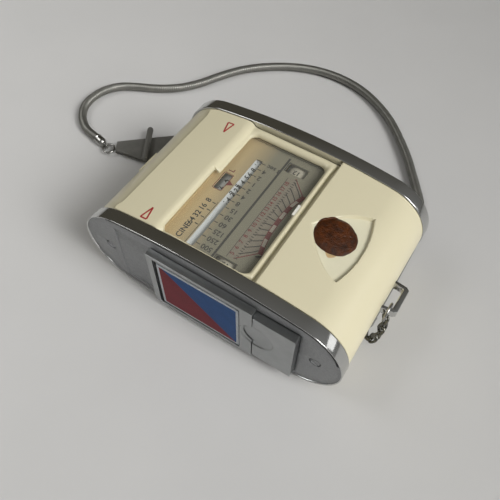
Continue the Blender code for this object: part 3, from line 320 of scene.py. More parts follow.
def letters(text, height, spot, turn, thick=0.03, align="CENTER", bold=0.05):
    """Generic figures of one height, flat at a spot (x, y, z) and turned about Z in degrees."""
    curve = bpy.data.curves.new("figures", "FONT")
    curve.body = text
    curve.align_x = align
    curve.align_y = "CENTER"
    curve.size = height / 0.7
    curve.extrude = thick / 2
    curve.offset = bold
    curve.resolution_u = 3
    source = bpy.data.objects.new("figures", curve)
    bpy.context.scene.collection.objects.link(source)
    mesh = bpy.data.meshes.new_from_object(source.evaluated_get(bpy.context.evaluated_depsgraph_get()))
    spots = np.empty(len(mesh.vertices) * 3)
    mesh.vertices.foreach_get("co", spots)
    spots = spots.reshape(-1, 3)
    faces = [list(face.vertices) for face in mesh.polygons]
    bpy.data.objects.remove(source, do_unlink=True)
    bpy.data.curves.remove(curve)
    bpy.data.meshes.remove(mesh)
    c, s = math.cos(math.radians(turn)), math.sin(math.radians(turn))
    spin = np.array(((c, s, 0), (-s, c, 0), (0, 0, 1)))
    return spots @ spin + np.asarray(spot, float), faces


def wrapped(piece, x, z, radius, angle):
    """Flat print with its middle line on x, wrapped round a drum along Y and turned by degrees."""
    spots, faces = piece
    turn = (spots[:, 0] - x) / radius + math.radians(angle)
    reach = radius + spots[:, 2]
    return np.column_stack([x + reach * np.sin(turn), spots[:, 1], z + reach * np.cos(turn)]), faces


def smoothstep(x, low, high):
    """A share that eases from 0 at low to 1 at high: three t squared less two t cubed."""
    t = np.clip((x - low) / (high - low), 0, 1)
    return t * t * (3 - 2 * t)


def oval(angle, inset):
    """Point (x, z) of the body's section at a normal angle in degrees: two wide arcs and two end arcs."""
    angle, inset = np.broadcast_arrays(np.asarray(angle, float), np.asarray(inset, float))
    c, s = np.cos(np.radians(angle)), np.sin(np.radians(angle))
    top = np.abs((angle - 90 + 180) % 360 - 180) <= CROWN_ANGLE
    low = np.abs((angle - 270 + 180) % 360 - 180) <= CROWN_ANGLE
    x = CENTRE_X + np.where(top | low, (CROWN - inset) * c, np.copysign(END_X, c) + (END_RADIUS - inset) * c)
    z = MID + (END_RADIUS - inset) * s
    z = np.where(top, MID + HALF - CROWN + (CROWN - inset) * s, z)
    return x, np.where(low, MID - HALF + CROWN + (CROWN - inset) * s, z)


def oval_angles(start, end, step):
    """Normal angles from start to end, spaced by about one step in millimetres along the section."""
    fine = np.linspace(start, end, 8001)
    run = run_along(np.column_stack(oval(fine, 1.0)))
    return np.interp(np.linspace(0, run[-1], int(run[-1] / step) + 2), run, fine)


def arc_z(x, inset):
    """Height of the section's upper wide arc over x, carried on past its ends."""
    return np.sqrt((CROWN - inset) ** 2 - (np.asarray(x, float) - CENTRE_X) ** 2) + MID + HALF - CROWN


def crown_z(x, inset):
    """Height of the section's upper side over x."""
    away = np.abs(np.asarray(x, float) - CENTRE_X)
    end = np.sqrt(np.maximum((END_RADIUS - inset) ** 2 - np.maximum(away - END_X, 0) ** 2, 0)) + MID
    return np.where(away <= (CROWN - inset) * math.sin(math.radians(CROWN_ANGLE)), arc_z(x, inset), end)


def fan_outline():
    """Outline of the casing's recess in x and y: three bulging sides, each a quadratic between corners."""
    apex, far, near = np.array(((FAN_APEX, -0.2), (31.5, 12.4), (31.8, -12.6)))
    t = np.linspace(0, 1, 24, endpoint=False)[:, None]
    sides = ((apex, (23.7, 9.9), far), (far, (36.1, 0.3), near), (near, (24.8, -11.4), apex))
    return np.concatenate([quadratic(a, b, c, t) for a, b, c in sides])


def recess(x, y, z):
    """Height z of the casing's outside, lowered to a tilted floor inside the fan-shaped outline."""
    floor_left = crown_z(FAN_APEX, CASING_INSET) - 0.25
    deep_x, deep_z = oval(72.0, CASING_INSET + 1.1)
    floor = floor_left - (floor_left - deep_z) / (deep_x - FAN_APEX) * (x - FAN_APEX)
    return z - smoothstep(-polygon_distance(x, y, fan_outline()), -0.12, 0.28) * np.maximum(z - floor, 0)


def rounded(points, radii, steps=8):
    """A polygon's corners replaced by arcs, each tangent to its two sides."""
    found = []
    for i, radius in enumerate(radii):
        here = np.array(points[i], float)
        back = unit(points[i - 1] - here)
        ahead = unit(points[(i + 1) % len(points)] - here)
        half = math.acos(float(np.clip(back @ ahead, -1, 1))) / 2
        middle = here + unit(back + ahead) * radius / math.sin(half)
        first, last = (here + side * radius / math.tan(half) - middle for side in (back, ahead))
        start = math.atan2(first[1], first[0])
        swing = (math.atan2(last[1], last[0]) - start + math.pi) % (2 * math.pi) - math.pi
        a = start + swing * np.linspace(0, 1, steps + 1)
        found.append(middle + radius * np.column_stack([np.cos(a), np.sin(a)]))
    return np.concatenate(found)


def even(loop, count):
    """A closed outline sampled evenly by its length."""
    loop = np.concatenate([loop, loop[:1]])
    run = run_along(loop)
    at = np.linspace(0, run[-1], count, endpoint=False)
    return np.column_stack([np.interp(at, run, loop[:, k]) for k in range(2)])


def smooth(points, count):
    """A cubic through the points, sampled evenly by its length."""
    p = np.array(points, float)
    gaps = np.linalg.norm(np.diff(p, axis=0), axis=1)
    slope = np.gradient(p, np.concatenate([[0], np.cumsum(gaps)]), axis=0)
    t = np.linspace(0, 1, 24, endpoint=False)[None, :, None]
    h = gaps[:, None, None]
    fine = ((2 * t ** 3 - 3 * t ** 2 + 1) * p[:-1, None] + (t ** 3 - 2 * t ** 2 + t) * h * slope[:-1, None]
            + (3 * t ** 2 - 2 * t ** 3) * p[1:, None] + (t ** 3 - t ** 2) * h * slope[1:, None])
    fine = np.concatenate([fine.reshape(-1, 3), p[-1:]])
    run = run_along(fine)
    want = np.linspace(0, run[-1], count)
    return np.column_stack([np.interp(want, run, fine[:, k]) for k in range(3)]), float(run[-1])


def polygon_distance(x, y, outline):
    """Signed distance from points to an outline, below zero inside it."""
    a = np.asarray(outline, float)
    b = np.roll(a, -1, 0)
    p = np.stack([x, y], -1)[..., None, :]
    edge = b - a
    t = np.clip(((p - a) * edge).sum(-1) / (edge * edge).sum(-1), 0, 1)
    near = np.linalg.norm(p - a - t[..., None] * edge, axis=-1).min(-1)
    straddle = (a[:, 1] > p[..., 1]) != (b[:, 1] > p[..., 1])
    rise = np.where(edge[:, 1] == 0, 1, edge[:, 1])
    inside = (straddle & (p[..., 0] < a[:, 0] + (p[..., 1] - a[:, 1]) / rise * edge[:, 0])).sum(-1) % 2 == 1
    return np.where(inside, -near, near)


def size_property(name, words, size_mm):
    """A length that a user can change, given in millimetres."""
    return FloatProperty(name=name, description=words, default=size_mm * MM, unit="LENGTH")


def colour_property(name, words, colour):
    """A colour that a user can change, given as sRGB hex."""
    return FloatVectorProperty(name=name, description=words, subtype="COLOR", size=3, default=linear(colour))


class MeterSizes(bpy.types.PropertyGroup):
    """Sizes that a user would change."""

    rim_edge: size_property("Rim edge", "Radius of the chrome rim's outer edges", 0.15)
    bead: size_property("Bezel bead", "Height of the rounded bars round the window", 1.6)
    chain_pitch: size_property("Chain pitch", "Length of one ring of the snake chain", 0.9)
    chain_groove: size_property("Chain groove", "Depth of the snake chain's grooves", 0.26)
    adhesive: size_property("Adhesive", "Radius of the dried adhesive in the recess", 6.35)


class MeterColours(bpy.types.PropertyGroup):
    """Colours that a user would change."""

    plastic: colour_property("Plastic", "Aged cream plastic", "#D9D1B2")
    # The dial's colour is darkened as painted shade of its recess under the pane.
    dial: colour_property("Dial", "Satin paint of the dial", "#7A7765")
    red: colour_property("Red", "Red half of the card", "#75202A")
    blue: colour_property("Blue", "Blue half of the card", "#1F4A80")
    floor: colour_property("Floor", "Pale table top", "#C9C8C6")


# Materials. Each starts from what the real surface is made of, which its docstring says.
def cream_plastic():
    """Moulded cream plastic, yellowed with age: glossy, with faint clouds and a slight moulded wave."""
    return surface("moulded_cream_plastic", bpy.context.scene.meter_colours.plastic, 0.3, mottle=30.0,
                   depth=0.015, grain=3.0, bump=0.01, rough_swing=0.02, IOR=1.5)


def chrome_plate():
    """Chrome on brass: a mirror with a faint haze from wiping."""
    return surface("chrome_plated_brass", linear("#C8C8C6"), 0.1, 1.0, mottle=9.0, depth=0.03, grain=0.5,
                   bump=0.015, rough_swing=0.04, stretch=(0.2, 1.0, 1.0))


def satin_zinc():
    """Die-cast zinc with a satin plating: grey, with a fine grit that scatters the light."""
    return surface("satin_die_cast_zinc", linear("#929394"), 0.42, 0.75, mottle=0.8, depth=0.12, grain=0.3,
                   bump=0.3, rough_swing=0.1)


def bright_steel():
    """Drawn steel wire, plated: bright and a little scratched."""
    return surface("plated_steel_wire", linear("#A6A5A1"), 0.24, 1.0, mottle=3.0, depth=0.12, grain=0.3,
                   bump=0.03)


def dull_steel():
    """Pressed sheet steel, worn dull."""
    return surface("pressed_sheet_steel", linear("#7C7B76"), 0.5, 0.5, mottle=4.0, depth=0.12, grain=0.3,
                   bump=0.06)


def ink(name, colour):
    """Screen-printed ink: matt, slightly uneven in cover."""
    return surface(name, linear(colour), 0.55, mottle=1.2, depth=0.12, grain=0.15, bump=0.03)


def dial_paint():
    """Satin paint on the dial, darkened as painted shade of its recess, with painted light: lighter and
    yellower toward its left side by the cream shoulder.
    """
    made = surface("satin_dial_paint", bpy.context.scene.meter_colours.dial, 0.45, mottle=10.0, depth=0.04,
                   grain=0.2, bump=0.03)
    tree = made.node_tree
    shader = tree.nodes["Principled BSDF"]
    if not shader.get("aged"):
        shader["aged"] = True
        base = shader.inputs["Base Color"].links[0].from_socket
        where = add(tree, "ShaderNodeTexCoord").outputs["Object"]
        x = add(tree, "ShaderNodeSeparateXYZ", {"Vector": where}).outputs["X"]
        share = add(tree, "ShaderNodeMapRange", {"Value": x, "From Min": -0.006, "From Max": -0.018,
                                                 "To Min": 0.0, "To Max": 0.85}).outputs["Result"]
        # Painted light: the lighter yellow that the dial's left side is mixed toward.
        yellowed = (*linear("#CDB27C"), 1.0)
        mixed = add(tree, "ShaderNodeMix", {0: share, 6: base, 7: yellowed}, data_type="RGBA")
        tree.links.new(mixed.outputs[2], shader.inputs["Base Color"])
    return made


def clear_pane():
    """Clear acrylic sheet: nearly invisible but for its gloss."""
    return surface("clear_acrylic", linear("#E9E6D8"), 0.05, mottle=20.0, depth=0.02, grain=6.0, bump=0.01,
                   rough_swing=0.02, Alpha=0.05, IOR=1.49)


def satin_nickel():
    """Nickel plate with a fine satin finish: a soft even sheen with faint clouds."""
    return surface("satin_nickel", linear("#A0A2A2"), 0.3, 1.0, mottle=4.0, depth=0.08, bump=0.0,
                   rough_swing=0.015)


def dried_adhesive():
    """Dried animal glue: dark brown, crusty, amber where it is thin."""
    made = surface("dried_glue", linear("#4A2407"), 0.42, mottle=1.8, depth=0.7, grain=0.5, bump=0.6,
                   rough_swing=0.2, IOR=1.32)
    made.node_tree.nodes["Bump"].inputs["Distance"].default_value = 0.0006
    return made


# Finish of each record slot for the nodes that stay as they are.
SLOT_FINISH = {
    "cream_plastic": cream_plastic,
    "chrome": chrome_plate,
    "matte_metal": satin_zinc,
    "steel": bright_steel,
    "brass": lambda: surface("rolled_brass", linear("#B5904C"), 0.32, 1.0, mottle=4.0, depth=0.1),
    "iron": lambda: surface("sintered_iron", linear("#56565A"), 0.55, 0.9, mottle=2.0, depth=0.15, bump=0.2),
    "black_plastic": lambda: surface("black_phenolic", linear("#1C1B1A"), 0.42, mottle=3.0, depth=0.2),
    "pale_plastic": lambda: surface("pale_enamel", linear("#EDEFEC"), 0.38, mottle=6.0, depth=0.05),
    "clear": clear_pane,
    "selenium": lambda: surface("selenium_layer", linear("#33353A"), 0.3, 0.4, mottle=2.0, depth=0.2),
    "lead_cover": lambda: surface("red_pvc", linear("#8A1F1A"), 0.45, mottle=2.0),
    "dial_paint": dial_paint,
    "copper_wire": lambda: surface("enamelled_copper", linear("#B4693C"), 0.35, 1.0, mottle=0.6, depth=0.2),
    "card": lambda: ink("pale_card", "#BFC3C6"),
    "adhesive": dried_adhesive,
}


def soft_group(limit):
    """Shading for a kept node: all smooth, except that edges over a limit in degrees stay sharp."""
    name = f"smooth_to_{limit:.0f}_degrees"
    found = bpy.data.node_groups.get(name)
    if found:
        return found
    group = bpy.data.node_groups.new(name, "GeometryNodeTree")
    group.interface.new_socket("Geometry", in_out="INPUT", socket_type="NodeSocketGeometry")
    group.interface.new_socket("Geometry", in_out="OUTPUT", socket_type="NodeSocketGeometry")
    start = add(group, "NodeGroupInput").outputs[0]
    angle = add(group, "GeometryNodeInputMeshEdgeAngle").outputs["Unsigned Angle"]
    flat = add(group, "FunctionNodeCompare", {0: angle, 1: math.radians(limit)}, operation="LESS_THAN")
    faces = add(group, "GeometryNodeSetShadeSmooth", {"Geometry": start}, domain="FACE")
    edges = add(group, "GeometryNodeSetShadeSmooth", {
        "Geometry": faces.outputs[0], "Selection": flat.outputs[0]}, domain="EDGE")
    sharp = add(group, "FunctionNodeBooleanMath", {0: flat.outputs[0]}, operation="NOT")
    last = add(group, "GeometryNodeSetShadeSmooth", {
        "Geometry": edges.outputs[0], "Selection": sharp.outputs[0], "Shade Smooth": False}, domain="EDGE")
    add(group, "NodeGroupOutput", {0: last.outputs[0]})
    return group


def soften(node, edge, limit=35.0):
    """Rounds a kept node's edges by a bevel of this width in millimetres and smooths its shading."""
    made = frame["nodes"][node]
    weld = made.modifiers.new("join", "WELD")
    weld.merge_threshold = 2e-6
    if edge:
        bevel = made.modifiers.new("edges", "BEVEL")
        bevel.width = edge * MM
        bevel.segments = 2
        bevel.limit_method = "ANGLE"
        bevel.angle_limit = math.radians(40)
    made.modifiers.new("shading", "NODES").node_group = soft_group(limit)


class METER_OT_stage(bpy.types.Operator):
    """Camera at the photograph's place, a pale table, a room lighter on one side and three soft lamps."""

    bl_idname = "meter.stage"
    bl_label = "Stage"

    def execute(self, context):
        scene = context.scene
        scene.view_settings.view_transform = "Standard"
        lens = bpy.data.cameras.new("photo_camera")
        lens.sensor_width = SENSOR_WIDTH
        lens.lens = FOCAL_LENGTH
        lens.clip_start = 0.005
        camera = bpy.data.objects.new("photo_camera", lens)
        spot = np.array(CAMERA_SPOT) * MM
        camera.matrix_world = Matrix([
            (IMAGE_RIGHT[i], -IMAGE_DOWN[i], -IMAGE_AHEAD[i], spot[i]) for i in range(3)] + [(0, 0, 0, 1)])
        scene.collection.objects.link(camera)
        scene.camera = camera
        floor = bpy.data.meshes.new("table_top")
        corners = [(-TABLE, -TABLE, 0), (TABLE, -TABLE, 0), (TABLE, TABLE, 0), (-TABLE, TABLE, 0)]
        floor.from_pydata(corners, [], [(0, 1, 2, 3)])
        paint = surface("painted_table", scene.meter_colours.floor, 0.6, mottle=40.0, depth=0.02, grain=0.8,
                        bump=0.03)
        floor.materials.append(paint)
        table = bpy.data.objects.new("table_top", floor)
        scene.collection.objects.link(table)

        world = bpy.data.worlds.new("room")
        world.use_nodes = True
        tree = world.node_tree
        way = add(tree, "ShaderNodeTexCoord").outputs["Generated"]
        lean = add(tree, "ShaderNodeVectorMath", {0: way, 1: ROOM_AIM}, operation="DOT_PRODUCT")
        share = add(tree, "ShaderNodeMapRange", {
            "Value": lean.outputs["Value"], "From Min": -0.4, "From Max": 0.9}).outputs["Result"]
        shade, light = ((*linear(colour), 1.0) for colour in ("#767266", "#D2D3D3"))
        sky = add(tree, "ShaderNodeMix", {0: share, 6: shade, 7: light}, data_type="RGBA")
        tree.links.new(sky.outputs[2], tree.nodes["Background"].inputs["Color"])
        tree.nodes["Background"].inputs["Strength"].default_value = ROOM_STRENGTH
        scene.world = world
        for name, place, target, size, power, spread in LAMPS:
            data = bpy.data.lights.new(name, "AREA")
            data.shape = "SQUARE"
            data.size = size
            data.energy = power
            data.spread = math.radians(spread)
            lamp = bpy.data.objects.new(name, data)
            lamp.location = place
            lamp.rotation_euler = (Vector(target) - lamp.location).to_track_quat("-Z", "Y").to_euler()
            scene.collection.objects.link(lamp)
        return {"FINISHED"}


def link_loops(hang):
    """Links of the short chain along a hanging curve: each is a flattened loop of wire between two points of
    it, a quarter turn from its neighbours and twisted a little."""
    path, run = smooth(hang, LINK_STEPS + 1)
    half = (run + (LINK_COUNT - 1) * LINK_BITE) / (2 * LINK_COUNT)
    t = circle(40)
    grow = np.sign(np.cos(t)) * np.abs(np.cos(t)) ** 0.75
    links, wide = [], np.array((1.0, 0.0, 0.0))
    for i in range(LINK_COUNT):
        spot = half + i * (2 * half - LINK_BITE)
        first, last = (round(s / run * LINK_STEPS) for s in (spot - half, spot + half))
        low, high = path[max(first, 0)], path[min(last, LINK_STEPS)]
        tangent = unit(high - low)
        wide = unit(wide - tangent * float(wide @ tangent))
        turn = math.radians(45 if i % 2 == 0 else -45)
        across = math.cos(turn) * wide + math.sin(turn) * np.cross(tangent, wide)
        normal = np.cross(tangent, across)
        reach = np.linalg.norm(high - low) / 2 - LINK_WIRE
        loop = (low + high) / 2 + reach * grow[:, None] * tangent + 1.2 * np.sin(t)[:, None] * across
        loop = loop + 0.35 * np.sin(2 * t)[:, None] * normal
        links.append(tube(loop, LINK_WIRE, 12, normal, True))
    return links


def on_clip(u, v, z):
    """Points of the clip's own frame: u along it from its tip, v across it, z up."""
    return CLIP_TIP + u * CLIP_ALONG + v * CLIP_ACROSS + z * np.array((0.0, 0.0, 1.0))


def clip_sheet(start, stop, trim, low, tilt):
    """A flat trapezoid of the clip from start to stop along it, tilted about the pin's place."""
    corners = [(u, -1.9 - 0.3 * u + trim) for u in (start, stop)]
    spots, faces = slab([*corners, *[(u, -v) for u, v in corners[::-1]]], low, low + CLIP_SHEET)
    u, v, z = spots.reshape(-1, 3).T[..., None]
    return on_clip(u, v, z + (PIN_U - u) * tilt), faces


class METER_OT_chain(bpy.types.Operator):
    """Snake chain on the table, with its caps, the ring on the lug, the small links and the spring clip."""

    bl_idname = "meter.chain"
    bl_label = "Chain"

    def execute(self, context):
        sizes = context.scene.meter_sizes
        steel, dull = bright_steel(), dull_steel()
        up = (0, 0, 1)
        ring = put("lug_ring_wire", [torus(LUG_RING, (1, 0, 0), 2.75, 0.45)], steel, replaced=["lug_ring"])
        dark = surface("tarnished_steel", linear("#75746D"), 0.25, 1.0, mottle=1.0, depth=0.3, grain=0.3)
        chain_links = put("chain_links", link_loops(LINK_HANG), dark, replaced=["link_chain"])

        # Cap profile of (radius, height): a rounded nose, a waist and a lip where the chain goes in.
        profile = [(0, 1.0), (0.8, 1.0), (1.15, 1.2), (1.5, 1.6), (1.75, 2.0), (1.85, 2.4), (1.85, 4.3)]
        profile += [(1.72, 4.45), (1.72, 4.7), (1.88, 4.85), (1.88, CAP_LENGTH - 0.1), (1.75, CAP_LENGTH)]
        profile += [(0, CAP_LENGTH)]
        ring_middle = CLIP_TIP - CLIP_ALONG * 1.9 + (0, 0, CAP_Z)
        cap_aim = unit((-0.97, 0.243, 0.0))
        clip_eye = ring_middle + cap_aim * CLIP_RING
        for name, eye, aim, hole in (
                ("body_end_cap", np.array(LINK_HANG[-1]), np.array((0.0, 1.0, 0.0)), (1.0, 0.0, 0.0)),
                ("clip_end_cap", clip_eye, cap_aim, (0.243, 0.97, 0.0))):
            parts = [turned(profile, eye, aim), torus(eye, hole, 1.15, 0.38, 40, 12)]
            put(f"{name}_turned", parts, steel, replaced=[name])
        wire = [torus(ring_middle, up, CLIP_RING, 0.4)]
        clip_ring = put("clip_ring_wire", wire, steel, replaced=["clip_ring"])

        # The clip: an upper sheet tilted about the pin, a level one below, the pin and a bent leaf between.
        tilted = [clip_sheet(1.4, 22.7, 0.1, PIN_Z - 1.95, math.tan(math.radians(5.0)))]
        lever = put("clip_lever_sheet", tilted, dull, "clip_lever", ["clip_lever"])
        level = [clip_sheet(0.6, 23.0, 1.5, 0.3, 0.0)]
        base = put("clip_base_sheet", level, dull, "housing", ["clip_base"])
        round_bar = [(0, -7.0), (0.8, -6.9), (1.15, -6.5), (1.2, 0), (1.2, 9.0), (1.05, 9.6), (0.7, 10.0)]
        round_bar += [(0, 10.1)]
        rod = [turned(round_bar, on_clip(PIN_U, 0.0, PIN_Z), CLIP_ACROSS, 32)]
        pin = put("clip_pin_bar", rod, dull, "housing", ["clip_pin"])
        bent = [(4.0, SPRING_FOOT), (9.8, SPRING_FOOT), (9.8, 1.5), (6.6, 1.6), (4.6, 2.9), (4.2, 2.9)]
        bent += [(5.8, 1.5), (4.0, 1.5)]
        spots, faces = slab(bent, -1.0, 1.0)
        u, z, v = spots.reshape(-1, 3).T[..., None]
        spring = put("clip_spring_leaf", [(on_clip(u, v, z), faces)], SLOT_FINISH["brass"](), "housing",
                     ["clip_spring"])
        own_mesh(spring)

        # The chain's radius dips along a zigzag line once in each pitch, as its bent strip does.
        end = tuple(clip_eye[:2] + cap_aim[:2] * (CAP_LENGTH + 0.3))
        route = [(x, y, CHAIN_Z) for x, y in (*CHAIN_ROUTE, end)]
        pitch, groove = sizes.chain_pitch / MM, sizes.chain_groove / MM
        _, length = smooth(route, 2)
        line, length = smooth(route, int(length / pitch * CHAIN_STEPS))
        s = np.linspace(0, length, len(line))[:, None]
        phi = np.arange(CHAIN_SIDES)[None, :] / CHAIN_SIDES
        zigzag = np.abs((phi * 6) % 1 - 0.5)
        radius = CHAIN_RADIUS - groove * np.abs(np.cos(math.pi * (s / pitch + zigzag))) ** 4
        woven = surface("woven_steel_strip", linear("#8B8A84"), 0.42, 0.9, mottle=3.0, depth=0.12, grain=0.3)
        weave = [tube(line, radius, CHAIN_SIDES, up)]
        cord = put("snake_chain_weave", weave, woven, replaced=["snake_chain"], keep_edges=60.0)
        return {"FINISHED"}


def rim_strip(name, span, rows, side, material, tapered=False):
    """A thin strip inside a rim, clear of the table: four rows of (inset, y) carried along the oval over a
    span of normal angles. A tapered one narrows to its first inset at both ends."""
    angles = oval_angles(*span, RIM_STEP)
    inset = np.broadcast_to(rows[None, :, 0], (len(angles), 4))
    if tapered:
        fade = np.sin(math.pi * np.linspace(0.01, 0.99, len(angles)))[:, None] ** 0.4
        inset = rows[0, 0] + (inset - rows[0, 0]) * fade
    x, z = oval(angles[:, None], inset)
    spots = np.stack([x, np.broadcast_to(side * rows[:, 1], x.shape), np.maximum(z, 0.2)], -1)
    ends = [[0, 1, 2, 3], [4 * len(angles) - i for i in (1, 2, 3, 4)]]
    return put(name, [(spots, grid_faces(len(angles), 4, False, True) + ends)], material)


class METER_OT_rims(bpy.types.Operator):
    """Two chrome rims: a rounded band with a flange, carried round the crowned oval, with the plate's edge
    inside it and a black strip at the top that is painted shade and dirt of the gap between rim and plate."""

    bl_idname = "meter.rims"
    bl_label = "Rims"

    def execute(self, context):
        r = context.scene.meter_sizes.rim_edge / MM
        a = np.linspace(0, math.pi / 2, 6)
        profile = [
            (RIM_DEPTH, FLANGE_Y), (RIM_WALL, FLANGE_Y), (RIM_WALL, END_Y - 0.2), (RIM_WALL - 0.2, END_Y)]
        profile += list(zip(r - r * np.sin(a), END_Y - r + r * np.cos(a)))
        profile += list(zip(RIM_BACK - RIM_BACK * np.cos(a), INNER_Y + RIM_BACK - RIM_BACK * np.sin(a)))
        profile = np.array([*profile, (RIM_DEPTH, INNER_Y)])
        angles = oval_angles(-90.0, 270.0, RIM_STEP)[:-1]
        x, z = oval(angles[:, None], profile[None, :, 0])
        z = np.maximum(z, np.maximum(profile[None, :, 0] - 0.3, 0.0))
        plate_edge = np.array([(RIM_WALL, 29.55), (1.5, 29.6), (1.5, 29.2), (RIM_WALL, 29.2)])
        # The black strip on the plate's face at the top is painted shade and dirt of the gap between rim and
        # plate.
        gap = np.array([(0.7, 29.74), (1.8, 29.74), (1.8, 29.5), (0.7, 29.5)])
        for label, side in (("near", -1), ("far", 1)):
            spots = np.stack([x, np.broadcast_to(side * profile[:, 1], x.shape), z], -1)
            band = (spots, grid_faces(len(angles), len(profile), True, True))
            put(f"{label}_rim_band", [band], chrome_plate(), replaced=[f"{label}_rim"],
                keep_edges=50.0)
            rim_strip(f"{label}_plate_edge", (112.0, 380.0), plate_edge, side, satin_zinc())
            rim_strip(f"{label}_gap_shade_and_dirt", (22.0, 111.0), gap, side, ink("black_gap_shade_and_dirt", "#0D0D0C"), True)
        return {"FINISHED"}


def shell(outer, inner):
    """A closed wall between two grids of points, with lids along the two edges where the grid stays open."""
    loop = np.concatenate([outer, inner[::-1]])
    rows, cols = loop.shape[:2]
    k = np.arange(rows // 2 - 1)
    lids = [np.stack([k, k + 1, rows - 2 - k, rows - 1 - k], -1) * cols + edge for edge in (0, cols - 1)]
    return loop, grid_faces(rows, cols, True, False) + np.concatenate(lids).tolist()


def sheet(x, y, top, floor, closed=False):
    """A piece between two heights over a grid of x and y that runs round; a closed one has a hole."""
    rows = np.concatenate([np.stack([x, y, top], -1), np.stack([x, y, floor], -1)[::-1]])
    return rows, grid_faces(*rows.shape[:2], closed, True)


class METER_OT_casing(bpy.types.Operator):
    """Right casing: a shell along the section whose outside drops to a tilted floor inside a fan-shaped
    outline, and the paler floor itself, which is rings of the outline drawn in toward its middle."""

    bl_idname = "meter.casing"
    bl_label = "Casing"

    def execute(self, context):
        round_off, lower_end = 0.4, 20.0
        start = math.degrees(math.acos((CASING_LEFT + round_off - CENTRE_X) / (CROWN - CASING_INSET)))
        end = -math.degrees(math.acos((lower_end - CENTRE_X) / (CROWN - CASING_INSET)))
        angles = np.concatenate([oval_angles(start, 45.0, 0.28), oval_angles(45.0, end, 0.7)[1:]])
        y = np.concatenate([np.linspace(-CASE_Y, -14.6, 14), np.arange(-14.3, 13.2, 0.28),
                            np.linspace(13.4, CASE_Y, 16)])
        x, z = oval(angles, CASING_INSET)
        corner = np.linspace(0, math.pi / 2, 6)[:-1]
        x = np.concatenate([CASING_LEFT + round_off - round_off * np.cos(corner), x])
        z = np.concatenate([z[0] - round_off + round_off * np.sin(corner), z])
        extra = len(corner)
        under_x, under_z = oval(np.concatenate([np.full(extra, start), angles]), CASING_INSET + CASING_WALL)
        under_x[:extra] = CASING_LEFT + 0.05
        grid_x, grid_y = np.meshgrid(x, y, indexing="ij")
        out = np.broadcast_to(z[:, None], grid_x.shape)
        upper = np.broadcast_to((np.arange(len(x)) < len(x) // 2)[:, None], grid_x.shape)
        out = np.where(upper, recess(grid_x, grid_y, out), out)
        under = [np.broadcast_to(row[:, None], grid_x.shape) for row in (under_x, under_z)]
        wall = shell(np.stack([grid_x, grid_y, out], -1), np.stack([under[0], grid_y, under[1]], -1))

        share = np.linspace(0, 0.96, 30)[:, None, None]
        x, y = np.moveaxis(FAN_MIDDLE + share * (fan_outline() - FAN_MIDDLE), -1, 0)
        z = recess(x, y, crown_z(x, CASING_INSET))
        bare = surface("bare_cream_plastic", linear("#DAD5BA"), 0.45, mottle=4.0, depth=0.03)
        put("recess_floor", [sheet(x, y, z + 0.03, z - 0.02)], bare)
        put("right_casing_shell", [wall], cream_plastic(), replaced=["right_casing"],
            keep_edges=32.0)
        return {"FINISHED"}


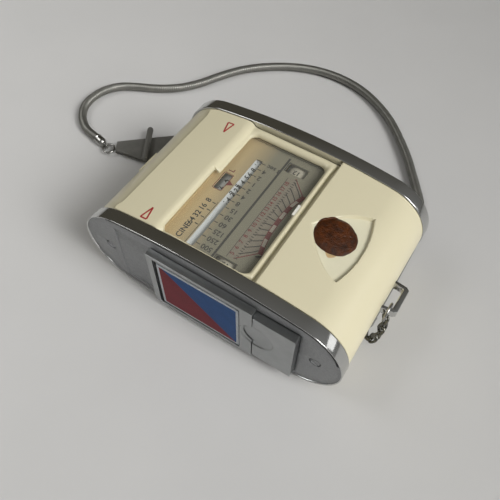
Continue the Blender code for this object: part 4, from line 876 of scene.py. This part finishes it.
class METER_OT_panel(bpy.types.Operator):
    """Front panel: rings carried from the window's outline to its edge, with a shoulder and rounded bars."""

    bl_idname = "meter.panel"
    bl_label = "Front panel"

    def execute(self, context):
        window = [(10.5, -24.4), (10.5, 22.5), (-16.9, 22.5), (-16.9, 3.0), (-18.7, 3.0), (-18.7, -24.4)]
        inner = even(rounded(window, [2.5, 2.5, 2.5, 0.4, 0.4, 2.5]), 520)
        ear, lip = -35.3, -34.5
        edge = [(PANEL_RIGHT, -CASE_Y), (PANEL_RIGHT, CASE_Y), (ear, CASE_Y), (ear, 23.8), (lip, 22.4)]
        edge += [(lip, -22.4), (ear, -23.8), (ear, -CASE_Y)]
        outline = even(np.array(edge), 4000)
        way = unit(inner - np.clip(inner, (-12.5, -21.0), (8.0, 20.0)))
        gap = outline[None] - inner[:, None]
        ahead = (gap * way[:, None]).sum(-1)
        off = np.abs(gap[..., 0] * way[:, None, 1] - gap[..., 1] * way[:, None, 0])
        outer = outline[np.where(ahead > 0, off, 1e9).argmin(1)]
        t = np.linspace(0, 1, 49)[:, None] ** 1.25
        x = inner[None, :, 0] + (outer - inner)[None, :, 0] * t
        y = inner[None, :, 1] + (outer - inner)[None, :, 1] * t

        # Left of the window the panel follows the body's arc, then rolls down to the bezel.
        base = arc_z(x, PANEL_INSET)
        reach = np.clip((x - SHOULDER_X) / (SHOULDER_END - SHOULDER_X), 0, 1)
        shoulder_top = arc_z(SHOULDER_X, PANEL_INSET)
        slope = shoulder_top - (shoulder_top - BEZEL_TOP) * (1 - np.sqrt(1 - reach ** 2))
        left = np.where(x < SHOULDER_X, base, slope)
        rim = np.hypot(x - inner[None, :, 0], y - inner[None, :, 1])
        left = left - LIP_ROUND * (1 - np.sqrt(1 - (1 - np.clip(rim / LIP_ROUND, 0, 1)) ** 2))

        # Round the window it is a half-round bar, narrower than its strip, with a groove beside it.
        height = context.scene.meter_sizes.bead / MM
        width = 0.7 + 0.3 * smoothstep(inner[None, :, 1], 20.0, 22.5)
        round_bar = np.sqrt(np.maximum(1 - (2 * t / width - 1) ** 2, 0))
        bead = PANE_TOP + 0.15 + height * np.maximum(round_bar, 0.3 * smoothstep(t, 0.5, 0.6))
        share = smoothstep(-x, 15.0, 19.5)
        top = (1 - share) * bead + share * left
        thick = 0.3 + 0.4 * smoothstep(x, -33.4, -31.0)
        floor = np.where(x < -17.0, np.minimum(base - thick, top - 0.3), PANE_TOP + 0.05)
        put("front_panel_bezel", [sheet(x, y, top, floor, True)], cream_plastic(), replaced=["front_panel"],
            keep_edges=40.0)

        tab = rounded([(10.35, 0.2), (11.5, 0.2), (11.5, 4.4), (10.35, 4.4)], [0.2] * 4, 3)
        put("bezel_tab", [slab(tab, 32.5, 34.05)], ink("white_celluloid", "#E9E7DC"))
        red = ink("red_ink", "#A32A2C")
        for name, base_y, tip_y in (("near_index", -24.4, -19.9), ("far_index", 21.5, 16.9)):
            corners = np.array([(-26.0, base_y), (-23.8, base_y), (-24.8, tip_y)])
            lines = []
            for a, b in zip(corners, np.roll(corners, -1, 0)):
                spots, faces = stroke(a + (b - a) * np.linspace(0, 1, 9)[:, None], 0.5, 0.0, 0.05)
                spots = spots.reshape(-1, 3)
                spots[:, 2] += arc_z(spots[:, 0], PANEL_INSET) - 0.01
                lines.append((spots, faces))
            put(name, lines, red)
        return {"FINISHED"}


class METER_OT_blind(bpy.types.Operator):
    """Roller blind: an arc about the end's axis with a low oblong grip raised on it, and a painted lip shadow
    in its slot.
    """

    bl_idname = "meter.blind"
    bl_label = "Roller blind"

    def execute(self, context):
        theta = np.radians(np.concatenate([
            np.linspace(BLIND_FROM, GRIP_AT - 9, 20), np.linspace(GRIP_AT - 8.5, GRIP_AT + 9, 60),
            np.linspace(GRIP_AT + 11, BLIND_TO, 60)]))
        y = np.concatenate([np.linspace(-INNER_Y + 0.1, -8.6, 12), np.linspace(-8.3, 4.8, 70),
                            np.linspace(5.1, INNER_Y - 0.1, 16)])
        grid_t, grid_y = np.meshgrid(theta, y, indexing="ij")
        across = (grid_t - math.radians(GRIP_AT)) * BLIND_OUT
        away = np.hypot(across, np.maximum(np.abs(grid_y - GRIP_Y) - GRIP_HALF, 0))
        raised = 0.38 * smoothstep(-away, -1.15, -0.75) - 0.22 * smoothstep(-away, -0.7, -0.45)
        outer, inner = (np.stack([LEFT_X + r * np.cos(grid_t), grid_y, MID + r * np.sin(grid_t)], -1)
                        for r in (BLIND_OUT + raised, BLIND_OUT - BLIND_WALL))

        # A thin olive strip just under the panel's lip is a painted shadow that the lip casts on the blind.
        steps = 8
        slot = np.radians(np.linspace(BLIND_FROM, BLIND_FROM + 2.8, steps))
        rim = [np.column_stack([LEFT_X + r * np.cos(slot), np.full(steps, end), MID + r * np.sin(slot)])
               for r, end in ((BLIND_OUT + 0.06, -22.3), (BLIND_OUT + 0.06, 22.3),
                              (BLIND_OUT + 0.02, 22.3), (BLIND_OUT + 0.02, -22.3))]
        last = 4 * (steps - 1)
        faces = grid_faces(steps, 4, False, True) + [[0, 1, 2, 3], [last + i for i in (3, 2, 1, 0)]]
        put("lip_painted_shadow", [(np.stack(rim, 1), faces)], ink("olive_painted_shadow", "#57513A"))
        put("roller_blind_shell", [shell(outer, inner)], cream_plastic(), "roller_blind", ["roller_blind"],
            40.0)
        return {"FINISHED"}


class METER_OT_dial(bpy.types.Operator):
    """Printed scales of the dial and of the two drums, as thin layers of ink."""

    bl_idname = "meter.dial"
    bl_label = "Dial print"

    def execute(self, context):
        low, high = DIAL_TOP + 0.005, DIAL_TOP + 0.045
        flat = (low + high) / 2
        black, red = ink("black_ink", "#1B1C1A"), ink("dark_red_ink", "#661519")

        # Exposure times beside the slot, cine speeds at its left, and the lines that part the dial.
        dark = [bar(-2.55, -1.85, -23.4, 21.6, low, high), bar(-11.75, -11.6, -23.4, -5.6, low, high)]
        for text, y in TIMES:
            dark.append(bar(-8.85, -7.5, y - TICK, y + TICK, low, high))
            dark.append(letters(text, 1.7, (-6.9, y, flat), 180, align="RIGHT"))
        for k, text in enumerate(("64", "32", "16", "8")):
            y = -15.7 + 3.05 * k
            dark.append(bar(-13.2, -12.0, y - TICK, y + TICK, low, high))
            dark.append(letters(text, 1.8, (-14.6, y + 0.1, flat), 90))
        dark.append(letters("CINE", 1.8, (-14.6, -19.6, flat), 90))
        dark.append(stroke([(1.2, -20.5), (1.2, 14.3)], 0.16, low, high))
        gauge = -19.7 + np.arange(36) * 0.98
        dark += [bar(3.5, 4.4, y - 0.12, y + 0.12, low + 0.01, high + 0.01) for y in gauge]
        for y0, y1 in ((16.2, 20.0), (-24.0, -21.4)):
            dark.append(bar(-1.6, -1.3, y0, y1, low, high))
            dark.append(bar(-1.6, 5.6, y1, y1 + 0.25, low, high))
        put("dial_black_print", dark, black)

        # Needle gauge: numbers, curves that run from them to an arc, and red and pale blocks along the arc.
        arc, _ = smooth([(8.3, -14.9, 0), (7.1, -9.3, 0), (6.7, -1.5, 0), (7.1, 4.9, 0), (8.6, 10.3, 0)], 91)
        arc = arc[:, :2]
        outside = arc + (1.25, 0.0)
        ground = [(1.25, -20.3), (3.6, -20.0), *arc[::6].tolist(), (3.7, 15.1), (1.25, 14.2)]
        put("gauge_ground", [slab(ground, low - 0.003, low + 0.012)], ink("rose_ink", "#7D7566"))
        parts = [slice(k * 10, k * 10 + 11) for k in range(9)]
        blocks = [slab(np.concatenate([arc[part], outside[part][::-1]]), low, high) for part in parts]
        put("gauge_pale_blocks", blocks[1::2], ink("pale_ink", "#A79F90"))
        t = np.linspace(0, 1, 14)[:, None]
        curves = []
        for k in range(13):
            begin = np.array((3.9, gauge[2] + k * (gauge[-2] - gauge[2]) / 12))
            stop = arc[int(4 + k * 82 / 12)]
            bend = np.array((stop[0] - 1.0, 0.35 * begin[1] + 0.65 * stop[1]))
            curves.append(stroke(quadratic(begin, bend, stop, t), 0.32, low, high))
        put("gauge_curves", curves, black)
        lines = [stroke(side, 0.22, low, high + 0.01) for side in (arc, outside)]
        slants = ([(3.4, -20.0), (8.3, -14.9)], [(3.5, 15.2), (8.6, 10.3)])
        lines += [stroke(side, 0.3, low, high) for side in slants]
        figures = [letters(str(5 + k), 1.25, (2.1, gauge[1] + 2.35 * k, flat), 90) for k in range(14)]
        window = rounded([(-16.75, -1.55), (-13.55, -1.55), (-13.55, 5.75), (-16.75, 5.75)], [0.3] * 4, 3)
        lines.append(slab([(-13.45, 1.2), (-11.6, 2.3), (-13.45, 3.4)], low, high))
        lines.append(stroke(np.concatenate([window, window[:1]]), 0.2, low, high))
        lines.append(letters("L", 1.8, (-15.1, 7.3, flat), 90))
        put("dial_red_print", blocks[::2] + lines + figures, red)

        # Each row of the setting drum has the apertures one step on, and two values for the left window.
        drum = (DRUM_X, DRUM_Z, DRUM_RADIUS)
        places = [y for _, y in TIMES]
        marks = []
        for row in range(9):
            for k, text in enumerate(("1.4", "2", "2.8", "4", "5.6", "8", "11", "16", "22")):
                place = k + 6 - row
                if 0 <= place < len(places):
                    mark = letters(text, 1.6, (DRUM_X + 2.45, places[place], PRINT), 90)
                    marks.append(wrapped(mark, *drum, 40.0 * row))
            for k in range(2):
                value = letters(str(2 + 2 * k + row), 1.8, (DRUM_X - 2.5, 0.4 + 3.3 * k, PRINT), 90)
                marks.append(wrapped(value, *drum, 40.0 * row))
        put("aperture_figures", marks, black, "setting_drum")
        speeds = []
        for row, pair in enumerate(FILM_SPEEDS):
            for text, y in zip(pair, (18.1, -22.7)):
                speed = letters(text, 1.7, (FILM_X, y, PRINT), 180)
                speeds.append(wrapped(speed, FILM_X, FILM_Z, FILM_RADIUS, 60.0 * row))
        put("film_speed_figures", speeds, black, "film_speed_drum")
        return {"FINISHED"}


def upright(outline, front, thick):
    """A flat outline in x and z given thickness toward +Y from a front plane."""
    spots, faces = slab(outline, 0.0, thick)
    x, z, depth = spots.reshape(-1, 3).T
    return np.column_stack([x, front + depth, z]), faces


class METER_OT_card(bpy.types.Operator):
    """Two-tone card of the colour slide: red and blue halves inside a pale border, over a black backing of
    painted shade.
    """

    bl_idname = "meter.card"
    bl_label = "Colour card"

    def execute(self, context):
        colours = context.scene.meter_colours
        # The black backing behind the card is painted shade: it stands for the deep shade in the gaps round
        # the card.
        backing = [(-16.7, 4.95), (13.2, 4.95), (13.2, 28.65), (-16.7, 28.65)]
        put("card_backing", [upright(backing, -31.53, 0.06)], ink("black_backing_shade", "#121211"), "colour_slide")
        x0, x1, z0, z1 = -14.7, 11.9, 6.2, 26.5
        split = x0 + 1.2
        for name, corners, colour in (
                ("card_red_half", [(x0, z0), (x1, z0), (split, z1), (x0, z1)], colours.red),
                ("card_blue_half", [(x1, z0), (x1, z1), (split, z1)], colours.blue)):
            cover = surface(f"{name}_ink", colour, 0.6, mottle=3.0, depth=0.1, grain=0.3, bump=0.04, IOR=1.35)
            put(name, [upright(corners, -32.1, 0.05)], cover, "colour_slide")
        return {"FINISHED"}


class METER_OT_adhesive(bpy.types.Operator):
    """Dried adhesive: a low crusty dome with a wavy outline on the recess's floor, and a thin stain."""

    bl_idname = "meter.adhesive"
    bl_label = "Adhesive"

    def execute(self, context):
        sides = 160
        phi = circle(sides)
        waves = ((0.025, 2, 0.6), (0.012, 5, 0.0), (0.006, 9, 2.0), (0.004, 17, 1.0))
        wavy = 1 + sum(a * np.sin(n * phi + b) for a, n, b in waves)
        rim = context.scene.meter_sizes.adhesive / MM * wavy
        share = np.linspace(0, 1, 60)[:, None]
        x = GLUE_SPOT[0] + share * rim * np.cos(phi)
        y = GLUE_SPOT[1] + share * rim * np.sin(phi)
        crust = (np.sin(2.1 * x + 1.3 * np.sin(1.7 * y)) * np.sin(2.4 * y + 1.1 * np.sin(1.9 * x))
                 + 0.6 * np.sin(5.3 * x + 2.0 * np.sin(3.1 * y)) * np.sin(4.7 * y + 1.6 * np.sin(3.7 * x)))
        dome = 0.3 * (1 - share ** 8) + 0.05 * crust * (1 - share ** 4)
        top = crown_z(x, CASING_INSET)
        base = recess(x, y, top)
        bridge = top + (base - top) * smoothstep(x, 22.0, 32.0) + 0.06
        crest = np.maximum(base + 0.03, bridge * (1 - share ** 6) + (base + 0.03) * share ** 6) + dome
        patch = sheet(x, y, crest, base + 0.01)

        x = STAIN_SPOT[0] + share * 1.9 * np.cos(phi)
        y = STAIN_SPOT[1] + share * (1.6 + 0.3 * np.sin(3 * phi)) * np.sin(phi)
        under = recess(x, y, crown_z(x, CASING_INSET))
        film = under + 0.06 * (1 - share ** 4) + 0.01
        amber = surface("amber_glue_film", linear("#C4A678"), 0.4, mottle=1.5, depth=0.25)
        put("adhesive_stain", [sheet(x, y, film, under)], amber, keep_edges=70.0)
        put("dried_adhesive_patch", [patch], dried_adhesive(), replaced=["emblem_adhesive"],
            keep_edges=70.0)
        return {"FINISHED"}


# Finish of the nodes that differ from their slot.
NODE_FINISH = {
    "pane_spacer": dial_paint,
    "slide_frame": satin_nickel,
    "colour_slide": satin_nickel,
    "near_screw_left": satin_zinc,
    "near_screw_right": satin_zinc,
    "aperture_drum": lambda: surface("white_enamel", linear("#D3D8D8"), 0.38, mottle=6.0, depth=0.05),
    "film_speed_drum": lambda: surface("grey_enamel", linear("#A9A492"), 0.45, mottle=6.0, depth=0.05),
}

# Bevel width in millimetres for the nodes that stay and can be seen.
EDGES = {
    "near_end_plate": 0.2, "far_end_plate": 0.2, "near_screw_left": 0.12, "near_screw_right": 0.12,
    "far_screw_left": 0.12, "far_screw_right": 0.12, "slide_frame": 0.18, "colour_slide": 0.2,
    "strap_lug": 0.3, "rear_cover": 0.25, "setting_wheel": 0.15, "film_speed_knob": 0.25, "blind_liner": 0.2,
}


class METER_OT_kept(bpy.types.Operator):
    """Nodes whose shape is right: each gets its slot's finish, and softer edges where it can be seen."""

    bl_idname = "meter.kept"
    bl_label = "Kept pieces"

    def execute(self, context):
        for row in frame["record"]["subparts"]:
            made = frame["nodes"][row["node"]]
            finish = SLOT_FINISH[row["material_slot"]]()
            if row["node"] in NODE_FINISH:
                finish = NODE_FINISH[row["node"]]()
            if made.material_slots:
                made.material_slots[0].material = finish
            else:
                made.data.materials.append(finish)
            crisp = row["node"] in ("colour_slide", "slide_frame")
            soften(row["node"], EDGES.get(row["node"], 0.0), 18.0 if crisp else 35.0)
        return {"FINISHED"}


STEPS = ("stage", "chain", "rims", "casing", "panel", "blind", "dial", "card", "adhesive", "kept")


class METER_PT_sidebar(bpy.types.Panel):
    """Sizes, colours and one button for each group of pieces."""

    bl_idname = "METER_PT_sidebar"
    bl_label = "Light meter"
    bl_space_type = "VIEW_3D"
    bl_region_type = "UI"
    bl_category = "Meter"

    def draw(self, context):
        for group in (context.scene.meter_sizes, context.scene.meter_colours):
            for key in group.__annotations__:
                self.layout.prop(group, key)
        for step in STEPS:
            self.layout.operator(f"meter.{step}")


CLASSES = (
    MeterSizes, MeterColours, METER_OT_stage, METER_OT_chain, METER_OT_rims, METER_OT_casing, METER_OT_panel,
    METER_OT_blind, METER_OT_dial, METER_OT_card, METER_OT_adhesive, METER_OT_kept, METER_PT_sidebar,
)


def register():
    """Registers the classes and ties the sizes and colours to the scene."""
    for item in CLASSES:
        bpy.utils.register_class(item)
    bpy.types.Scene.meter_sizes = PointerProperty(type=MeterSizes)
    bpy.types.Scene.meter_colours = PointerProperty(type=MeterColours)


def unregister():
    """Takes the sizes, colours and classes away again."""
    del bpy.types.Scene.meter_colours
    del bpy.types.Scene.meter_sizes
    for item in reversed(CLASSES):
        bpy.utils.unregister_class(item)


def main():
    register()
    for step in STEPS:
        getattr(bpy.ops.meter, step)()


if __name__ == "__main__":
    main()
